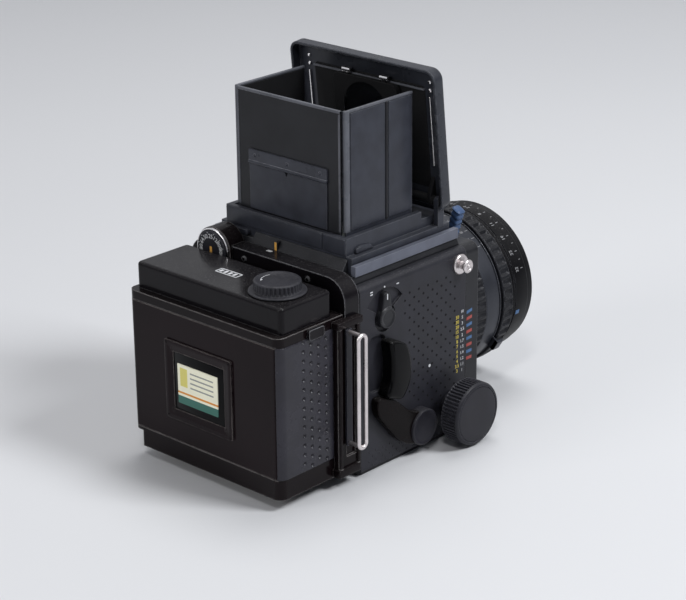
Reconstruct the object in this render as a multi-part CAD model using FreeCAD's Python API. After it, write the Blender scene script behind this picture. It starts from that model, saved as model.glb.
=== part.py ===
import FreeCAD, Part
import math
import os

# A medium format single lens reflex film camera with a waist-level finder, as an assembly.
# Millimetres. +Z up, the lens looks along -Y, the film back is at +Y, and the
# photographer's right hand side is -X. The origin is the mouth of the tripod socket.

V = FreeCAD.Vector

# Clearances
FLAT_GAP = 0.3          # between flat faces that move past each other
RUN_FIT = 0.05          # radial clearance of a shaft in its hole
TRIM_GAP = 0.2          # between fixed pieces let into each other

# Body
BODY_WIDTH = 109.0
COVER_T = 2.2
BODY_HALF = BODY_WIDTH / 2
SHELL_HALF = BODY_HALF - COVER_T
BASE_T = 3.0
SHELL_WALL = 2.2
BODY_FRONT = -38.0
SHELL_TOP = 102.0
DECK_T = 4.5
DECK_TOP = SHELL_TOP + DECK_T
SHOULDER_R = 3.5        # rounding of the side cover's top edge
SHOULDER_LIP = 1.5
AXIS_Z = 54.8           # height of the lens axis
SCREW_HEAD_R = 2.2
SCREW_SHANK_R = 1.2
SCREW_INSET = 8.0
LUG_Y = -32.8
LUG_Z = 94.6
LUG_R = 2.2
LUG_FLANGE_R = 4.6
LUG_FLANGE_T = 1.8
LUG_HEAD_R = 3.4
LUG_HEAD_T = 2.0
LUG_LEN = 6.8
SHOE_Y = 22.0
SHOE_Z = 42.0
SHOE_HALF_W = 9.4
SHOE_LIP = 2.0
SHOE_HALF_L = 11.0
SHOE_END = 1.5
SHOE_T = 5.0
SHOE_FLOOR = 1.4
SHOE_SLOT = 2.2
TRIPOD_R = 3.97
TRIPOD_DEPTH = 8.0
TRIPOD_BUSH_R = 9.0

# Finder, from the sides inwards and from the front to the rear
RAIL_INSET = 5.0        # rail's outer face inside the body's side
RAIL_W = 3.0
RAIL_X1 = BODY_HALF - RAIL_INSET
RAIL_X0 = RAIL_X1 - RAIL_W
RAIL_H = 5.3
RAIL_TOP = DECK_TOP + RAIL_H
RAIL_GAP = 0.7
BASE_HALF = RAIL_X0 - RAIL_GAP
BASE_LEDGE = 3.8        # base outside its collar
COLLAR_HALF = BASE_HALF - BASE_LEDGE
COLLAR_WALL = 3.0
WELL_HALF = COLLAR_HALF - COLLAR_WALL
HOOD_GAP = 1.2
HOOD_HALF = WELL_HALF - HOOD_GAP
HOOD_FRONT = -14.5
HOOD_REAR = 36.2
WELL_FRONT = HOOD_FRONT - 1.5
COLLAR_FRONT = WELL_FRONT - 1.0
BASE_NOSE = 17.5        # base in front of its collar
BASE_FRONT = COLLAR_FRONT - BASE_NOSE
WELL_REAR = HOOD_REAR + 0.5
BASE_REAR_WALL = 2.8
BASE_REAR = WELL_REAR + BASE_REAR_WALL
APRON_T = 3.8           # room behind the base, with the apron
BODY_REAR = BASE_REAR + APRON_T
BASE_STEP = 8.5
BASE_STEP_Z = DECK_TOP + BASE_STEP
FRONT_BLOCK = 5.2
BASE_FRONT_TOP = BASE_STEP_Z + FRONT_BLOCK
COLLAR_H = 9.2
COLLAR_TOP = BASE_STEP_Z + COLLAR_H
APRON_H = 7.5
APRON_TOP = DECK_TOP + APRON_H
LEAF_T = 1.2
LEAF_H = 63.1           # side leaves above the collar
HOOD_TOP = COLLAR_TOP + LEAF_H
POST_W = 2.2
RIGHT_LEAF_Z = BASE_STEP_Z + 0.9    # pivot heights, stacked so that the leaves fold over each other
LEFT_LEAF_Z = RIGHT_LEAF_Z + 2.5
REAR_LEAF_Z = LEFT_LEAF_Z + 3.9
LEAF_PIN_R = 0.6
LEAF_KNUCKLE_R = 0.8
REAR_LEAF_HALF = HOOD_HALF - POST_W - TRIM_GAP
LID_INSET = 4.6
LID_HALF = BODY_HALF - LID_INSET
LID_T = 1.6
LID_RIM = 1.6
LID_PIVOT_Y = BASE_FRONT + 6.8
LID_PIVOT_Z = COLLAR_TOP + 3.8
LID_PLATE_UP = 2.5      # inner face of the plate above the pivot, lid closed
LID_FORE = 5.0          # plate in front of the pivot, lid closed
LID_AFT = 71.4
LID_RIM_LOW = COLLAR_TOP + FLAT_GAP
LID_OPEN_DEG = 84.0
LID_PIN_R = 1.5
EAR_GAP = 2.3
EAR_T = 3.0
EAR_X1 = LID_HALF - LID_RIM - EAR_GAP
EAR_X0 = EAR_X1 - EAR_T
EAR_R = 2.3
MAGNIFIER_INSET = 10.7  # pivot in front of the lid's rear edge, lid closed
MAGNIFIER_AFT = LID_AFT - MAGNIFIER_INSET
MAGNIFIER_LEN = 38.0
MAGNIFIER_HALF = 22.0
MAGNIFIER_T = 3.0
MAGNIFIER_LENS_R = 15.5
MAGNIFIER_PIN_X = 13.0
CLIP_HALF = 27.2
CLIP_LOW = 149.6
CLIP_HIGH = 156.6
CLIP_T = 1.2
FLAP_T = 0.8
FLAP_LOW = COLLAR_TOP + 0.7
TAB_INSET = 1.5
TAB_W = 16.0
TAB_X1 = COLLAR_HALF - TAB_INSET    # release tab
TAB_X0 = TAB_X1 - TAB_W
TAB_Z0 = DECK_TOP + 4.9
TAB_H = 2.8
TAB_TRAVEL = 3.0
TAB_STEM_IN = 5.2
TAB_STEM_W = 4.8

# Mirror and screen
MIRROR_Y = BODY_REAR - 5.3          # mirror pivot
MIRROR_Z = SHELL_TOP - 12.0
MIRROR_LEN = 66.0
MIRROR_GLASS_T = 1.5
MIRROR_FRAME_T = 2.5
SCREEN_LEDGE = 2.0
SCREEN_HALF = WELL_HALF - SCREEN_LEDGE
SCREEN_Y = 3.5
SCREEN_REAR_ROOM = 2.8
SCREEN_DEPTH = BODY_REAR - SCREEN_Y - SCREEN_REAR_ROOM  # from the screen's middle to its edge
SCREEN_T = 2.0
SCREEN_FRAME_T = 3.0
MIRROR_BOX_HALF = SCREEN_HALF + 1.0
MIRROR_HALF = MIRROR_BOX_HALF - 1.5
MIRROR_BOX_WALL = 1.5
MIRROR_BOX_FLOOR = 22.0
MIRROR_BOX_TOP = SHELL_TOP - 6.0

# Bellows and focusing drive
FOCUS_TRAVEL = 46.0
RACK_W = 4.0
RACK_GAP = 0.5          # rack to the shell's wall
RACK_X = SHELL_HALF - SHELL_WALL - RACK_GAP - RACK_W / 2
BELLOWS_GAP = 0.6
BELLOWS_HALF = RACK_X - RACK_W / 2 - BELLOWS_GAP
BELLOWS_LOW = 15.0
BELLOWS_HIGH = SHELL_TOP - 4.0
BELLOWS_FOLD = 7.0
BELLOWS_LENGTH = 7.4
PINION_Y = -25.3
PINION_TEETH = 16
GEAR_MODULE = 1.0
PINION_Z = BASE_T + 7.1 + PINION_TEETH * GEAR_MODULE / 2
SHAFT_R = 3.0
KNOB_R = 17.1
KNOB_T = 11.2
KNOB_BOSS_R = 7.0
KNOB_STANDOFF = 8.5
KNOB_FACE = BODY_HALF + KNOB_STANDOFF + KNOB_T
LOCK_COLLAR_R = KNOB_BOSS_R + 2.0   # fixed collar that the focus lock lever turns on
LOCK_LEVER_T = 3.0
STANDARD_T = 9.7
STANDARD_LOW = 0.8
STANDARD_HIGH = SHELL_TOP + 0.5
SCALE_LOW = 32.0        # distance scale strip
SCALE_HIGH = 70.0
SCALE_T = 0.8

# Lens, from the front standard forwards
LENS_FRONT_LEN = 20.8
APERTURE_W = 8.7
BAND_W = 11.4
BAYONET_W = 20.7
TUBE_R = 38.0
TUBE_WALL = 5.0
TUBE_BORE = TUBE_R - TUBE_WALL
TUBE_REAR = BODY_FRONT - 2.5
BAYONET_T = 6.5
BAYONET_R = TUBE_R + BAYONET_T
BAYONET_Y0 = BODY_FRONT - FLAT_GAP - STANDARD_T - FLAT_GAP - BAYONET_W
LOCK_TAB_ANGLE = 28.0   # from the top towards the right
LOCK_TAB_R = 62.0
LOCK_TAB_W = 9.0
LOCK_TAB_T = 6.0
BAND_T = 5.5
BAND_R = TUBE_R + BAND_T
BAND_Y0 = BAYONET_Y0 - FLAT_GAP - BAND_W
TAB_RING_T = 1.0
TAB_HALF = 4.0
TAB_LEN = 6.0
TAB_RISE = 5.0          # tab's top above the aperture ring
PREVIEW_ANGLE = 122.0
APERTURE_T = 7.0
APERTURE_R = TUBE_R + APERTURE_T
APERTURE_Y0 = BAND_Y0 - TAB_RING_T - 2 * FLAT_GAP - APERTURE_W
LENS_FRONT = APERTURE_Y0 - LENS_FRONT_LEN
FRONT_T = 4.5
FRONT_R = TUBE_R + FRONT_T
FILTER_RIM = 4.0
FILTER_R = FRONT_R - FILTER_RIM
FILTER_DEPTH = 5.0
FRONT_GLASS_R = 29.0
REAR_GLASS_R = 26.0
STOP_R = 18.0
SHUTTER_LEN = 8.0

# Revolving adapter and film back
ADAPTER_LIFT = 0.6      # adapter's lower edge above the base plane
ADAPTER_HALF = AXIS_Z - ADAPTER_LIFT
ADAPTER_R = 12.0
ADAPTER_T = 10.4
ADAPTER_REAR = BODY_REAR + FLAT_GAP + ADAPTER_T
ADAPTER_OPEN = 38.0
SPIGOT_R = 45.6
SPIGOT_WALL = 1.0
FRAME_W = 69.5
FRAME_H = 56.0
BACK_RIM = 1.2
BACK_HALF = ADAPTER_HALF - BACK_RIM
CHAMBER_LOW = AXIS_Z - FRAME_H / 2 - 9.6
CHAMBER_HIGH = AXIS_Z + FRAME_H / 2 + 4.3
BACK_LOW = CHAMBER_LOW - 10.7
BACK_TOP = CHAMBER_HIGH + 4.9
BACK_CORNER = 4.5
BACK_WALL = 1.8
STEP_X = BACK_HALF - 6.8
STEP_Z = BACK_LOW + 8.8
FILM_PLANE = ADAPTER_REAR + 3.0
CHAMBER_DEPTH = 39.5
DOOR_T = 3.1
BACK_REAR = FILM_PLANE + CHAMBER_DEPTH + DOOR_T
GATE_T = 1.0
SLIDE_T = 0.8
SLIDE_Y = ADAPTER_REAR + 0.85
SLIDE_IN = 37.0
SLIDE_HALF_H = FRAME_H / 2 + 3.0
GUIDE_Y0 = ADAPTER_REAR - 8.5
GUIDE_Y1 = ADAPTER_REAR + 7.5
GUIDE_LOW = BACK_LOW + 0.5
GUIDE_HIGH = BACK_TOP - 3.5
GUIDE_T = 3.2
GUIDE_PANEL_LOW = GUIDE_LOW + 9.8
GUIDE_PANEL_HIGH = GUIDE_HIGH - 4.7
LOOP_REACH = 10.3
LOOP_X = BACK_HALF + GUIDE_T + LOOP_REACH
LOOP_HALF_H = SLIDE_HALF_H - 1.0
LOOP_HALF_W = 2.6
WIRE_R = 1.1
WELL_FLOOR = 2.5        # floor below the spools
DOOR_HALF = BACK_HALF - 2.7
DOOR_PIN_X = DOOR_HALF - 1.3
DOOR_PIN_Y = BACK_REAR - 1.3
DOOR_PIN_R = 0.8
CATCH_Y0 = FILM_PLANE + 12.5
CATCH_Z = BACK_TOP - 3.2
CATCH_LEN = 10.5
CATCH_H = 5.4
CATCH_T = 1.8
CATCH_STEM = 2.4        # how far the stem reaches into the shell
CATCH_TRAVEL = 3.0
MEMO_X0 = -21.4
MEMO_X1 = 26.4
MEMO_Z0 = 29.5
MEMO_Z1 = 72.5
MEMO_T = 1.2
MEMO_BORDER = 6.0
HOUSING_HALF = BACK_HALF - 2.0
HOUSING_FRONT = FILM_PLANE + 2.7
HOUSING_REAR = BACK_REAR - 4.5
HOUSING_H = 13.8
HOUSING_TOP = BACK_TOP + HOUSING_H
HOUSING_WALL = 1.8
SPOOL_X = FRAME_W / 2 - 2.15
SPOOL_Y = FILM_PLANE + 21.5
SPOOL_FLANGE_R = 12.3
SPOOL_CORE_R = 6.0
SPOOL_LEN = FRAME_H + 7.0
SPOOL_AXLE_R = 2.5
FILM_GEAR_MODULE = 0.7
WIND_TEETH = 12
WIND_SHAFT_IN = 8.0     # winding shaft's reach into the spool
COUNTER_TEETH = 36
WIND_FLANGE_R = 14.5
WIND_FLANGE_T = 1.0
WIND_KNOB_R = 11.9
WIND_KNOB_H = 5.2
WIND_KNOB_TOP = HOUSING_TOP + FLAT_GAP + WIND_FLANGE_T + WIND_KNOB_H
DIAL_X = 34.7
DIAL_Z = HOUSING_TOP
DIAL_R = 10.0
DIAL_T = 2.0
TOWER_R = 11.6
TOWER_Y0 = ADAPTER_REAR - 8.8
TOWER_Y1 = ADAPTER_REAR + 2.1

# Controls on the body
COCK_Y = 0.6
COCK_Z = 15.5
COCK_HUB_R = 9.8
COCK_HUB_RISE = 6.4
COCK_ARM_RISE = 5.0
COCK_GRIP_RISE = 7.8
COCK_ARM = ((-4.0, 8.9), (2.0, -9.5), (18.9, -1.0), (35.9, 18.5), (34.9, 28.0), (21.9, 22.0))
COCK_GRIP = ((19.4, 21.5), (30.9, 26.5), (26.4, 41.5), (28.4, 57.0), (14.9, 51.0), (11.4, 36.5))
COCK_HUB_FACE = BODY_HALF + COCK_HUB_RISE
COCK_ARM_FACE = BODY_HALF + COCK_ARM_RISE
COCK_GRIP_FACE = BODY_HALF + COCK_GRIP_RISE
MODE_Y = 25.0
MODE_Z = 82.3
MODE_HUB_R = 5.6
MODE_RISE = 2.5
MODE_FACE = BODY_HALF + MODE_RISE
MODE_POINTER = 13.6
MODE_RECESS = 1.5
MODE_SWING = 30.0
MODE_SIDE = 28.0        # angle left free beside the pointer
SHUTTER_DIAL_Y = -14.0
SHUTTER_DIAL_Z = 80.0
SHUTTER_DIAL_R = 17.0
SHUTTER_DIAL_T = 5.5
SHUTTER_GRIP_R = 12.0
SHUTTER_GRIP_T = 3.0
RELEASE_INSET = 10.5
RELEASE_X = RELEASE_INSET - BODY_HALF
RELEASE_Z = 14.0
RELEASE_R = 4.2
RELEASE_COLLAR_R = RELEASE_R + 1.4  # fixed collar round the button
RELEASE_RING_T = 2.4
RELEASE_TRAVEL = 2.5


def box(x0, x1, y0, y1, z0, z1):
    """A block between two corners."""
    return Part.makeBox(x1 - x0, y1 - y0, z1 - z0, V(x0, y0, z0))


AXES = {"x": V(1, 0, 0), "y": V(0, 1, 0), "z": V(0, 0, 1)}


def point(axis, u, v, w):
    """A point w along an axis; u and v are its other two coordinates, in X, Y, Z order."""
    return {"x": V(w, u, v), "y": V(u, w, v), "z": V(u, v, w)}[axis]


def rod(axis, u, v, r, w0, w1):
    """A cylinder along an axis from w0 to w1."""
    return Part.makeCylinder(r, w1 - w0, point(axis, u, v, w0), AXES[axis])


def tube(axis, u, v, outer, inner, w0, w1):
    """A ring along an axis from w0 to w1."""
    return rod(axis, u, v, outer, w0, w1).cut(rod(axis, u, v, inner, w0, w1))


def prism(axis, outline, w0, w1):
    """A polygon of (u, v) points, drawn out along an axis from w0 to w1."""
    corners = [point(axis, u, v, w0) for u, v in outline]
    face = Part.Face(Part.makePolygon(corners + corners[:1]))
    return face.extrude(AXES[axis] * (w1 - w0))


def rounded(axis, u0, u1, v0, v1, r, w0, w1):
    """A block whose four edges along an axis are rounded to radius r."""
    def p(u, v):
        return point(axis, u, v, w0)
    k = r * (1 - math.sqrt(0.5))
    edges = []
    sides = [(u0 + r, v0, u1 - r, v0), (u1, v0 + r, u1, v1 - r),
             (u1 - r, v1, u0 + r, v1), (u0, v1 - r, u0, v0 + r)]
    mids = [(u1 - k, v0 + k), (u1 - k, v1 - k), (u0 + k, v1 - k), (u0 + k, v0 + k)]
    for i, (a, b, c, d) in enumerate(sides):
        e, f = sides[(i + 1) % 4][:2]
        edges.append(Part.makeLine(p(a, b), p(c, d)))
        edges.append(Part.Arc(p(c, d), p(*mids[i]), p(e, f)).toShape())
    return Part.Face(Part.Wire(edges)).extrude(AXES[axis] * (w1 - w0))


def both_sides(shape):
    """The shape and its mirror image across the plane x = 0."""
    return [shape, shape.mirror(V(0, 0, 0), V(1, 0, 0))]


def gear_outline(teeth, module, cu, cv, phase):
    """Trapezoid teeth round (cu, cv); phase is the angle of the first tooth."""
    pitch_r = teeth * module / 2
    step = 2 * math.pi / teeth
    flank = math.tan(math.radians(20)) * module / pitch_r
    root_r = pitch_r - 1.25 * module
    tip_r = pitch_r + module
    half = 0.21 * step
    points = []
    for i in range(teeth):
        a = phase + i * step
        for r, da in ((root_r, -half - 1.25 * flank), (tip_r, -half + flank),
                      (tip_r, half - flank), (root_r, half + 1.25 * flank)):
            points.append((cu + r * math.cos(a + da), cv + r * math.sin(a + da)))
    return points


def drop(shape, y, z, degrees):
    """The shape turned about an X axis through (y, z)."""
    out = shape.copy()
    out.rotate(V(0, y, z), V(1, 0, 0), degrees)
    return out


# Body

def body_shell():
    """Cast box, open at the front and below, with a round rear opening."""
    w = SHELL_WALL
    shell = box(-SHELL_HALF, SHELL_HALF, BODY_FRONT, BODY_REAR, BASE_T, SHELL_TOP)
    hollow = box(-SHELL_HALF + w, SHELL_HALF - w, BODY_FRONT - 1, BODY_REAR - w,
                 BASE_T - 1, SHELL_TOP - w)
    rear = rod("y", 0, AXIS_Z, SPIGOT_R + RUN_FIT, BODY_REAR - w - 1, BODY_REAR + 1)
    h, d = SCREEN_HALF - 2, SCREEN_DEPTH - 2
    top = box(-h, h, SCREEN_Y - d, SCREEN_Y + d, SHELL_TOP - w - 1, SHELL_TOP + 1)
    edge = SHOULDER_R + 1
    corners = [prism("y", [(s * SHELL_HALF, SHELL_TOP), (s * (SHELL_HALF - edge), SHELL_TOP),
                           (s * SHELL_HALF, SHELL_TOP - edge)], BODY_FRONT - 1, BODY_REAR + 1)
               for s in (-1, 1)]
    holes = [rod("x", PINION_Y, PINION_Z, SHAFT_R + RUN_FIT, -BODY_HALF, BODY_HALF),
             rod("x", COCK_Y, COCK_Z, SHAFT_R + RUN_FIT, -BODY_HALF, 0),
             rod("x", MODE_Y, MODE_Z, SHAFT_R / 2 + RUN_FIT, -BODY_HALF, 0),
             rod("x", SHUTTER_DIAL_Y, SHUTTER_DIAL_Z, SHAFT_R + RUN_FIT, 0, BODY_HALF)]
    return shell.cut([hollow, rear, top] + corners + holes)


def base_plate():
    """Flat base that the camera stands on, with the threaded tripod bush let in."""
    plate = rounded("z", -SHELL_HALF, SHELL_HALF, BODY_FRONT, BODY_REAR, 3.0, 0, BASE_T)
    plate = plate.cut([rod("z", 0, 0, TRIPOD_BUSH_R, -1, BASE_T + 1)] + screw_holes())
    bush = rod("z", 0, 0, TRIPOD_BUSH_R, 0, TRIPOD_DEPTH + 2)
    bush = bush.cut(rod("z", 0, 0, TRIPOD_R, -1, TRIPOD_DEPTH))
    return [plate, bush]


def screw_places():
    """The four corners of the base where it is screwed on."""
    return [(sx * (SHELL_HALF - SCREW_INSET), y)
            for sx in (-1, 1) for y in (BODY_FRONT + SCREW_INSET, BODY_REAR - SCREW_INSET)]


def screw_holes():
    """Counterbored holes for the base screws."""
    return [rod("z", x, y, SCREW_HEAD_R + RUN_FIT, -1, BASE_T / 2).fuse(
            rod("z", x, y, SCREW_SHANK_R + RUN_FIT, -1, BASE_T + 1)) for x, y in screw_places()]


def base_screws():
    """Screws sunk in the base, with a slot in each head."""
    screws = []
    for x, y in screw_places():
        screw = rod("z", x, y, SCREW_HEAD_R, TRIM_GAP, BASE_T / 2)
        screw = screw.fuse(rod("z", x, y, SCREW_SHANK_R, TRIM_GAP, BASE_T))
        slot = box(x - 0.3, x + 0.3, y - SCREW_HEAD_R, y + SCREW_HEAD_R, 0, TRIM_GAP + 0.5)
        screws.append(screw.cut(slot))
    return screws


def side_cover(s):
    """One side cover, s = -1 on the photographer's right: a plate with a rolled top edge."""
    outer, inner, r = BODY_HALF, SHELL_HALF, SHOULDER_R
    z = SHELL_TOP + 0.5
    t = COVER_T - 0.6
    k = math.sqrt(0.5)
    lip = outer - r - SHOULDER_LIP

    def p(u, v):
        return V(s * u, BODY_FRONT, v)
    ri = r - t
    edges = [Part.makeLine(p(inner, BASE_T), p(outer, BASE_T)),
             Part.makeLine(p(outer, BASE_T), p(outer, z - r)),
             Part.Arc(p(outer, z - r), p(outer - r + r * k, z - r + r * k), p(outer - r, z)).toShape(),
             Part.makeLine(p(outer - r, z), p(lip, z)),
             Part.makeLine(p(lip, z), p(lip, z - t)),
             Part.makeLine(p(lip, z - t), p(outer - r, z - t)),
             Part.Arc(p(outer - r, z - t), p(outer - r + ri * k, z - r + ri * k),
                      p(outer - t, z - r)).toShape(),
             Part.makeLine(p(outer - t, z - r), p(inner, z - r - 1)),
             Part.makeLine(p(inner, z - r - 1), p(inner, BASE_T))]
    return Part.Face(Part.Wire(edges)).extrude(V(0, BODY_REAR - BODY_FRONT, 0))


def mode_recess():
    """Pear-shaped hollow that the mode lever swings in."""
    reach = MODE_POINTER + 2.0
    a = math.radians(MODE_SWING + MODE_SIDE)
    c, m, b = [V(-BODY_HALF, MODE_Y + reach * math.sin(t), MODE_Z + reach * math.cos(t))
               for t in (-a, 0, a)]
    hub = V(-BODY_HALF, MODE_Y, MODE_Z)
    wire = Part.Wire([Part.makeLine(hub, c), Part.Arc(c, m, b).toShape(), Part.makeLine(b, hub)])
    sector = Part.Face(wire).extrude(V(MODE_RECESS, 0, 0))
    return sector.fuse(rod("x", MODE_Y, MODE_Z, MODE_HUB_R + 2.0, -BODY_HALF,
                           -BODY_HALF + MODE_RECESS))


def right_side_cover():
    """Side cover with the mode lever's recess, the finger hollow and the shaft holes."""
    cover = side_cover(-1)
    hollow = rounded("x", COCK_Y + 24, BODY_REAR - 6, 44, 74, 4, -BODY_HALF - 1,
                     -BODY_HALF + MODE_RECESS)
    holes = [rod("x", PINION_Y, PINION_Z, SHAFT_R + FLAT_GAP, -BODY_HALF - 1, -SHELL_HALF),
             rod("x", COCK_Y, COCK_Z, SHAFT_R + FLAT_GAP, -BODY_HALF - 1, -SHELL_HALF),
             rod("x", MODE_Y, MODE_Z, SHAFT_R / 2 + FLAT_GAP, -BODY_HALF - 1, -SHELL_HALF),
             scale_slot()]
    return cover.cut([mode_recess(), hollow] + holes)


def left_side_cover():
    """Side cover with the holes of two shafts and the collar of the focus lock lever."""
    holes = [rod("x", PINION_Y, PINION_Z, SHAFT_R + FLAT_GAP, SHELL_HALF, BODY_HALF + 1),
             rod("x", SHUTTER_DIAL_Y, SHUTTER_DIAL_Z, SHAFT_R + FLAT_GAP, SHELL_HALF,
                 BODY_HALF + 1)]
    collar = tube("x", PINION_Y, PINION_Z, LOCK_COLLAR_R, KNOB_BOSS_R + FLAT_GAP, BODY_HALF - 0.5,
                  BODY_HALF + FLAT_GAP + LOCK_LEVER_T)
    return side_cover(1).cut(holes).fuse(collar)


def scale_slot():
    """Slot inside the right cover that the distance scale plate slides in."""
    g = FLAT_GAP
    return box(-SHELL_HALF - SCALE_T - g, -SHELL_HALF, BODY_FRONT - 1, BODY_FRONT + FOCUS_TRAVEL + 9,
               SCALE_LOW - g, SCALE_HIGH + g)


def distance_scale_plate():
    """Strip carried by the front standard; it comes out of the side as the standard moves."""
    return box(-SHELL_HALF - SCALE_T, -SHELL_HALF - TRIM_GAP / 2, BODY_FRONT - FLAT_GAP,
               BODY_FRONT + FOCUS_TRAVEL + 8, SCALE_LOW, SCALE_HIGH)


def top_plate():
    """Deck with the screen's opening, bevelled sides and the apron behind the finder."""
    half = BODY_HALF - SHOULDER_R - SHOULDER_LIP - TRIM_GAP / 2
    bevel = 1.4
    outline = [(-half, SHELL_TOP), (half, SHELL_TOP), (half, DECK_TOP - 3),
               (half - bevel, DECK_TOP), (-half + bevel, DECK_TOP), (-half, DECK_TOP - 3)]
    deck = prism("y", outline, BODY_FRONT, BODY_REAR)
    y0 = BASE_REAR + FLAT_GAP
    apron = prism("x", [(y0, DECK_TOP - 1), (BODY_REAR, DECK_TOP - 1), (BODY_REAR, DECK_TOP + 2.5),
                        (y0, APRON_TOP)], -COLLAR_HALF - 1, COLLAR_HALF + 1)
    notch = box(TAB_X0 - 4, COLLAR_HALF + 2, y0 - 1, BODY_REAR + 1, TAB_Z0 - FLAT_GAP, APRON_TOP + 1)
    h, d = SCREEN_HALF + 3 + TRIM_GAP, SCREEN_DEPTH + 3 + TRIM_GAP
    well = box(-h, h, SCREEN_Y - d, SCREEN_Y + d - 1, SHELL_TOP - 1, DECK_TOP + 1)
    return deck.cut(well).fuse(apron.cut(notch)).removeSplitter()


def finder_rails():
    """The two bright rails beside the finder."""
    rail = box(-RAIL_X1, -RAIL_X0, BODY_FRONT + 0.6, BODY_REAR - 2.3, DECK_TOP, RAIL_TOP)
    trim = prism("y", [(-RAIL_X1 - 1, DECK_TOP), (-RAIL_X1 + 0.01, DECK_TOP),
                       (-RAIL_X1 - 1, DECK_TOP + 1)], BODY_FRONT, BODY_REAR)
    return both_sides(rail.cut(trim))


def strap_lugs():
    """Flanged studs for the neck strap, one on each side."""
    end = -BODY_HALF - LUG_LEN
    lug = rod("x", LUG_Y, LUG_Z, LUG_FLANGE_R, -BODY_HALF - LUG_FLANGE_T, -BODY_HALF)
    lug = lug.fuse(rod("x", LUG_Y, LUG_Z, LUG_R, end + LUG_HEAD_T - 0.2, -BODY_HALF))
    lug = lug.fuse(rod("x", LUG_Y, LUG_Z, LUG_HEAD_R, end, end + LUG_HEAD_T))
    return both_sides(lug)


def accessory_shoe():
    """Slide-in shoe on the left side, open upwards."""
    w = SHOE_HALF_W + SHOE_END
    x = BODY_HALF
    z0, z1 = SHOE_Z - SHOE_HALF_L, SHOE_Z + SHOE_HALF_L
    shoe = box(x, x + SHOE_T, SHOE_Y - w, SHOE_Y + w, z0, z1)
    deep = x + SHOE_FLOOR
    channel = box(deep, deep + SHOE_SLOT, SHOE_Y - SHOE_HALF_W, SHOE_Y + SHOE_HALF_W, z0 + SHOE_END, z1 + 1)
    mouth = box(deep + SHOE_SLOT - 0.1, x + SHOE_T + 1, SHOE_Y - SHOE_HALF_W + SHOE_LIP,
                SHOE_Y + SHOE_HALF_W - SHOE_LIP, z0 + SHOE_END, z1 + 1)
    return shoe.cut([channel, mouth])


def mirror_box():
    """Inner light chamber with the mirror's pivot holes and a front flange for the bellows."""
    w, half = MIRROR_BOX_WALL, MIRROR_BOX_HALF
    front = bellows_rear() + TRIM_GAP / 2
    rear = BODY_REAR - SHELL_WALL
    chamber = box(-half - w, half + w, front, rear, MIRROR_BOX_FLOOR, MIRROR_BOX_TOP)
    flange = box(-BELLOWS_HALF, BELLOWS_HALF, front, front + w, BELLOWS_LOW, BELLOWS_HIGH)
    hollow = box(-half, half, front - 1, rear + 1, MIRROR_BOX_FLOOR + w, MIRROR_BOX_TOP + 1)
    notch = box(-half, half, front + w, rear, MIRROR_BOX_TOP - 1, MIRROR_BOX_TOP + 1)
    mouth = box(-half, half, front - 1, front + w + 1, MIRROR_BOX_FLOOR + w, MIRROR_Z + 4)
    pivot = rod("x", MIRROR_Y, MIRROR_Z, 1.2 + RUN_FIT, -half - w - 1, half + w + 1)
    return chamber.cut([hollow, notch]).fuse(flange.cut(mouth)).cut([mouth, pivot])


def bellows_rear():
    """Where the folded bellows end inside the body."""
    return BODY_FRONT + TRIM_GAP + BELLOWS_LENGTH


def bellows():
    """Folded bellows: a square tube of pleats."""
    pleats = 4
    y0 = BODY_FRONT + TRIM_GAP
    step = BELLOWS_LENGTH / pleats
    t = 0.5
    out_pts = [(0.0, y0)]
    for i in range(pleats):
        out_pts.append((BELLOWS_FOLD - t, y0 + (i + 0.5) * step))
        out_pts.append((0.0, y0 + (i + 1) * step))

    def frame(inset0, y_a, inset1, y_b):
        def ring(d, y):
            c = [V(-BELLOWS_HALF + d, y, BELLOWS_LOW + d), V(BELLOWS_HALF - d, y, BELLOWS_LOW + d),
                 V(BELLOWS_HALF - d, y, BELLOWS_HIGH - d), V(-BELLOWS_HALF + d, y, BELLOWS_HIGH - d)]
            return Part.makePolygon(c + c[:1])
        return Part.makeLoft([ring(inset0, y_a), ring(inset1, y_b)], True, True)
    outer = None
    inner = None
    for (d0, a), (d1, b) in zip(out_pts, out_pts[1:]):
        piece = frame(d0 * 0.6, a, d1 * 0.6, b)
        hole = frame(BELLOWS_FOLD - 2.6 + d0 * 0.4, a, BELLOWS_FOLD - 2.6 + d1 * 0.4, b)
        outer = piece if outer is None else outer.fuse(piece)
        inner = hole if inner is None else inner.fuse(hole)
    return outer.cut(inner)


def screen_frame():
    """Frame that holds the focusing screen in the deck."""
    h, d = SCREEN_HALF + 3, SCREEN_DEPTH + 3
    frame = box(-h, h, SCREEN_Y - d, SCREEN_Y + d - 1 - TRIM_GAP, SHELL_TOP, SHELL_TOP + SCREEN_FRAME_T)
    seat = box(-SCREEN_HALF - 0.1, SCREEN_HALF + 0.1, SCREEN_Y - SCREEN_DEPTH - 0.1,
               SCREEN_Y + SCREEN_DEPTH - 0.9, SHELL_TOP + SCREEN_FRAME_T - SCREEN_T, DECK_TOP)
    h, d = SCREEN_HALF - 2, SCREEN_DEPTH - 2
    window = box(-h, h, SCREEN_Y - d, SCREEN_Y + d - 1, SHELL_TOP - 1, DECK_TOP)
    return frame.cut([seat, window])


def focusing_screen():
    """Ground glass."""
    return box(-SCREEN_HALF, SCREEN_HALF, SCREEN_Y - SCREEN_DEPTH, SCREEN_Y + SCREEN_DEPTH - 1,
               SHELL_TOP + SCREEN_FRAME_T - SCREEN_T, SHELL_TOP + SCREEN_FRAME_T)


# Mirror

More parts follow.
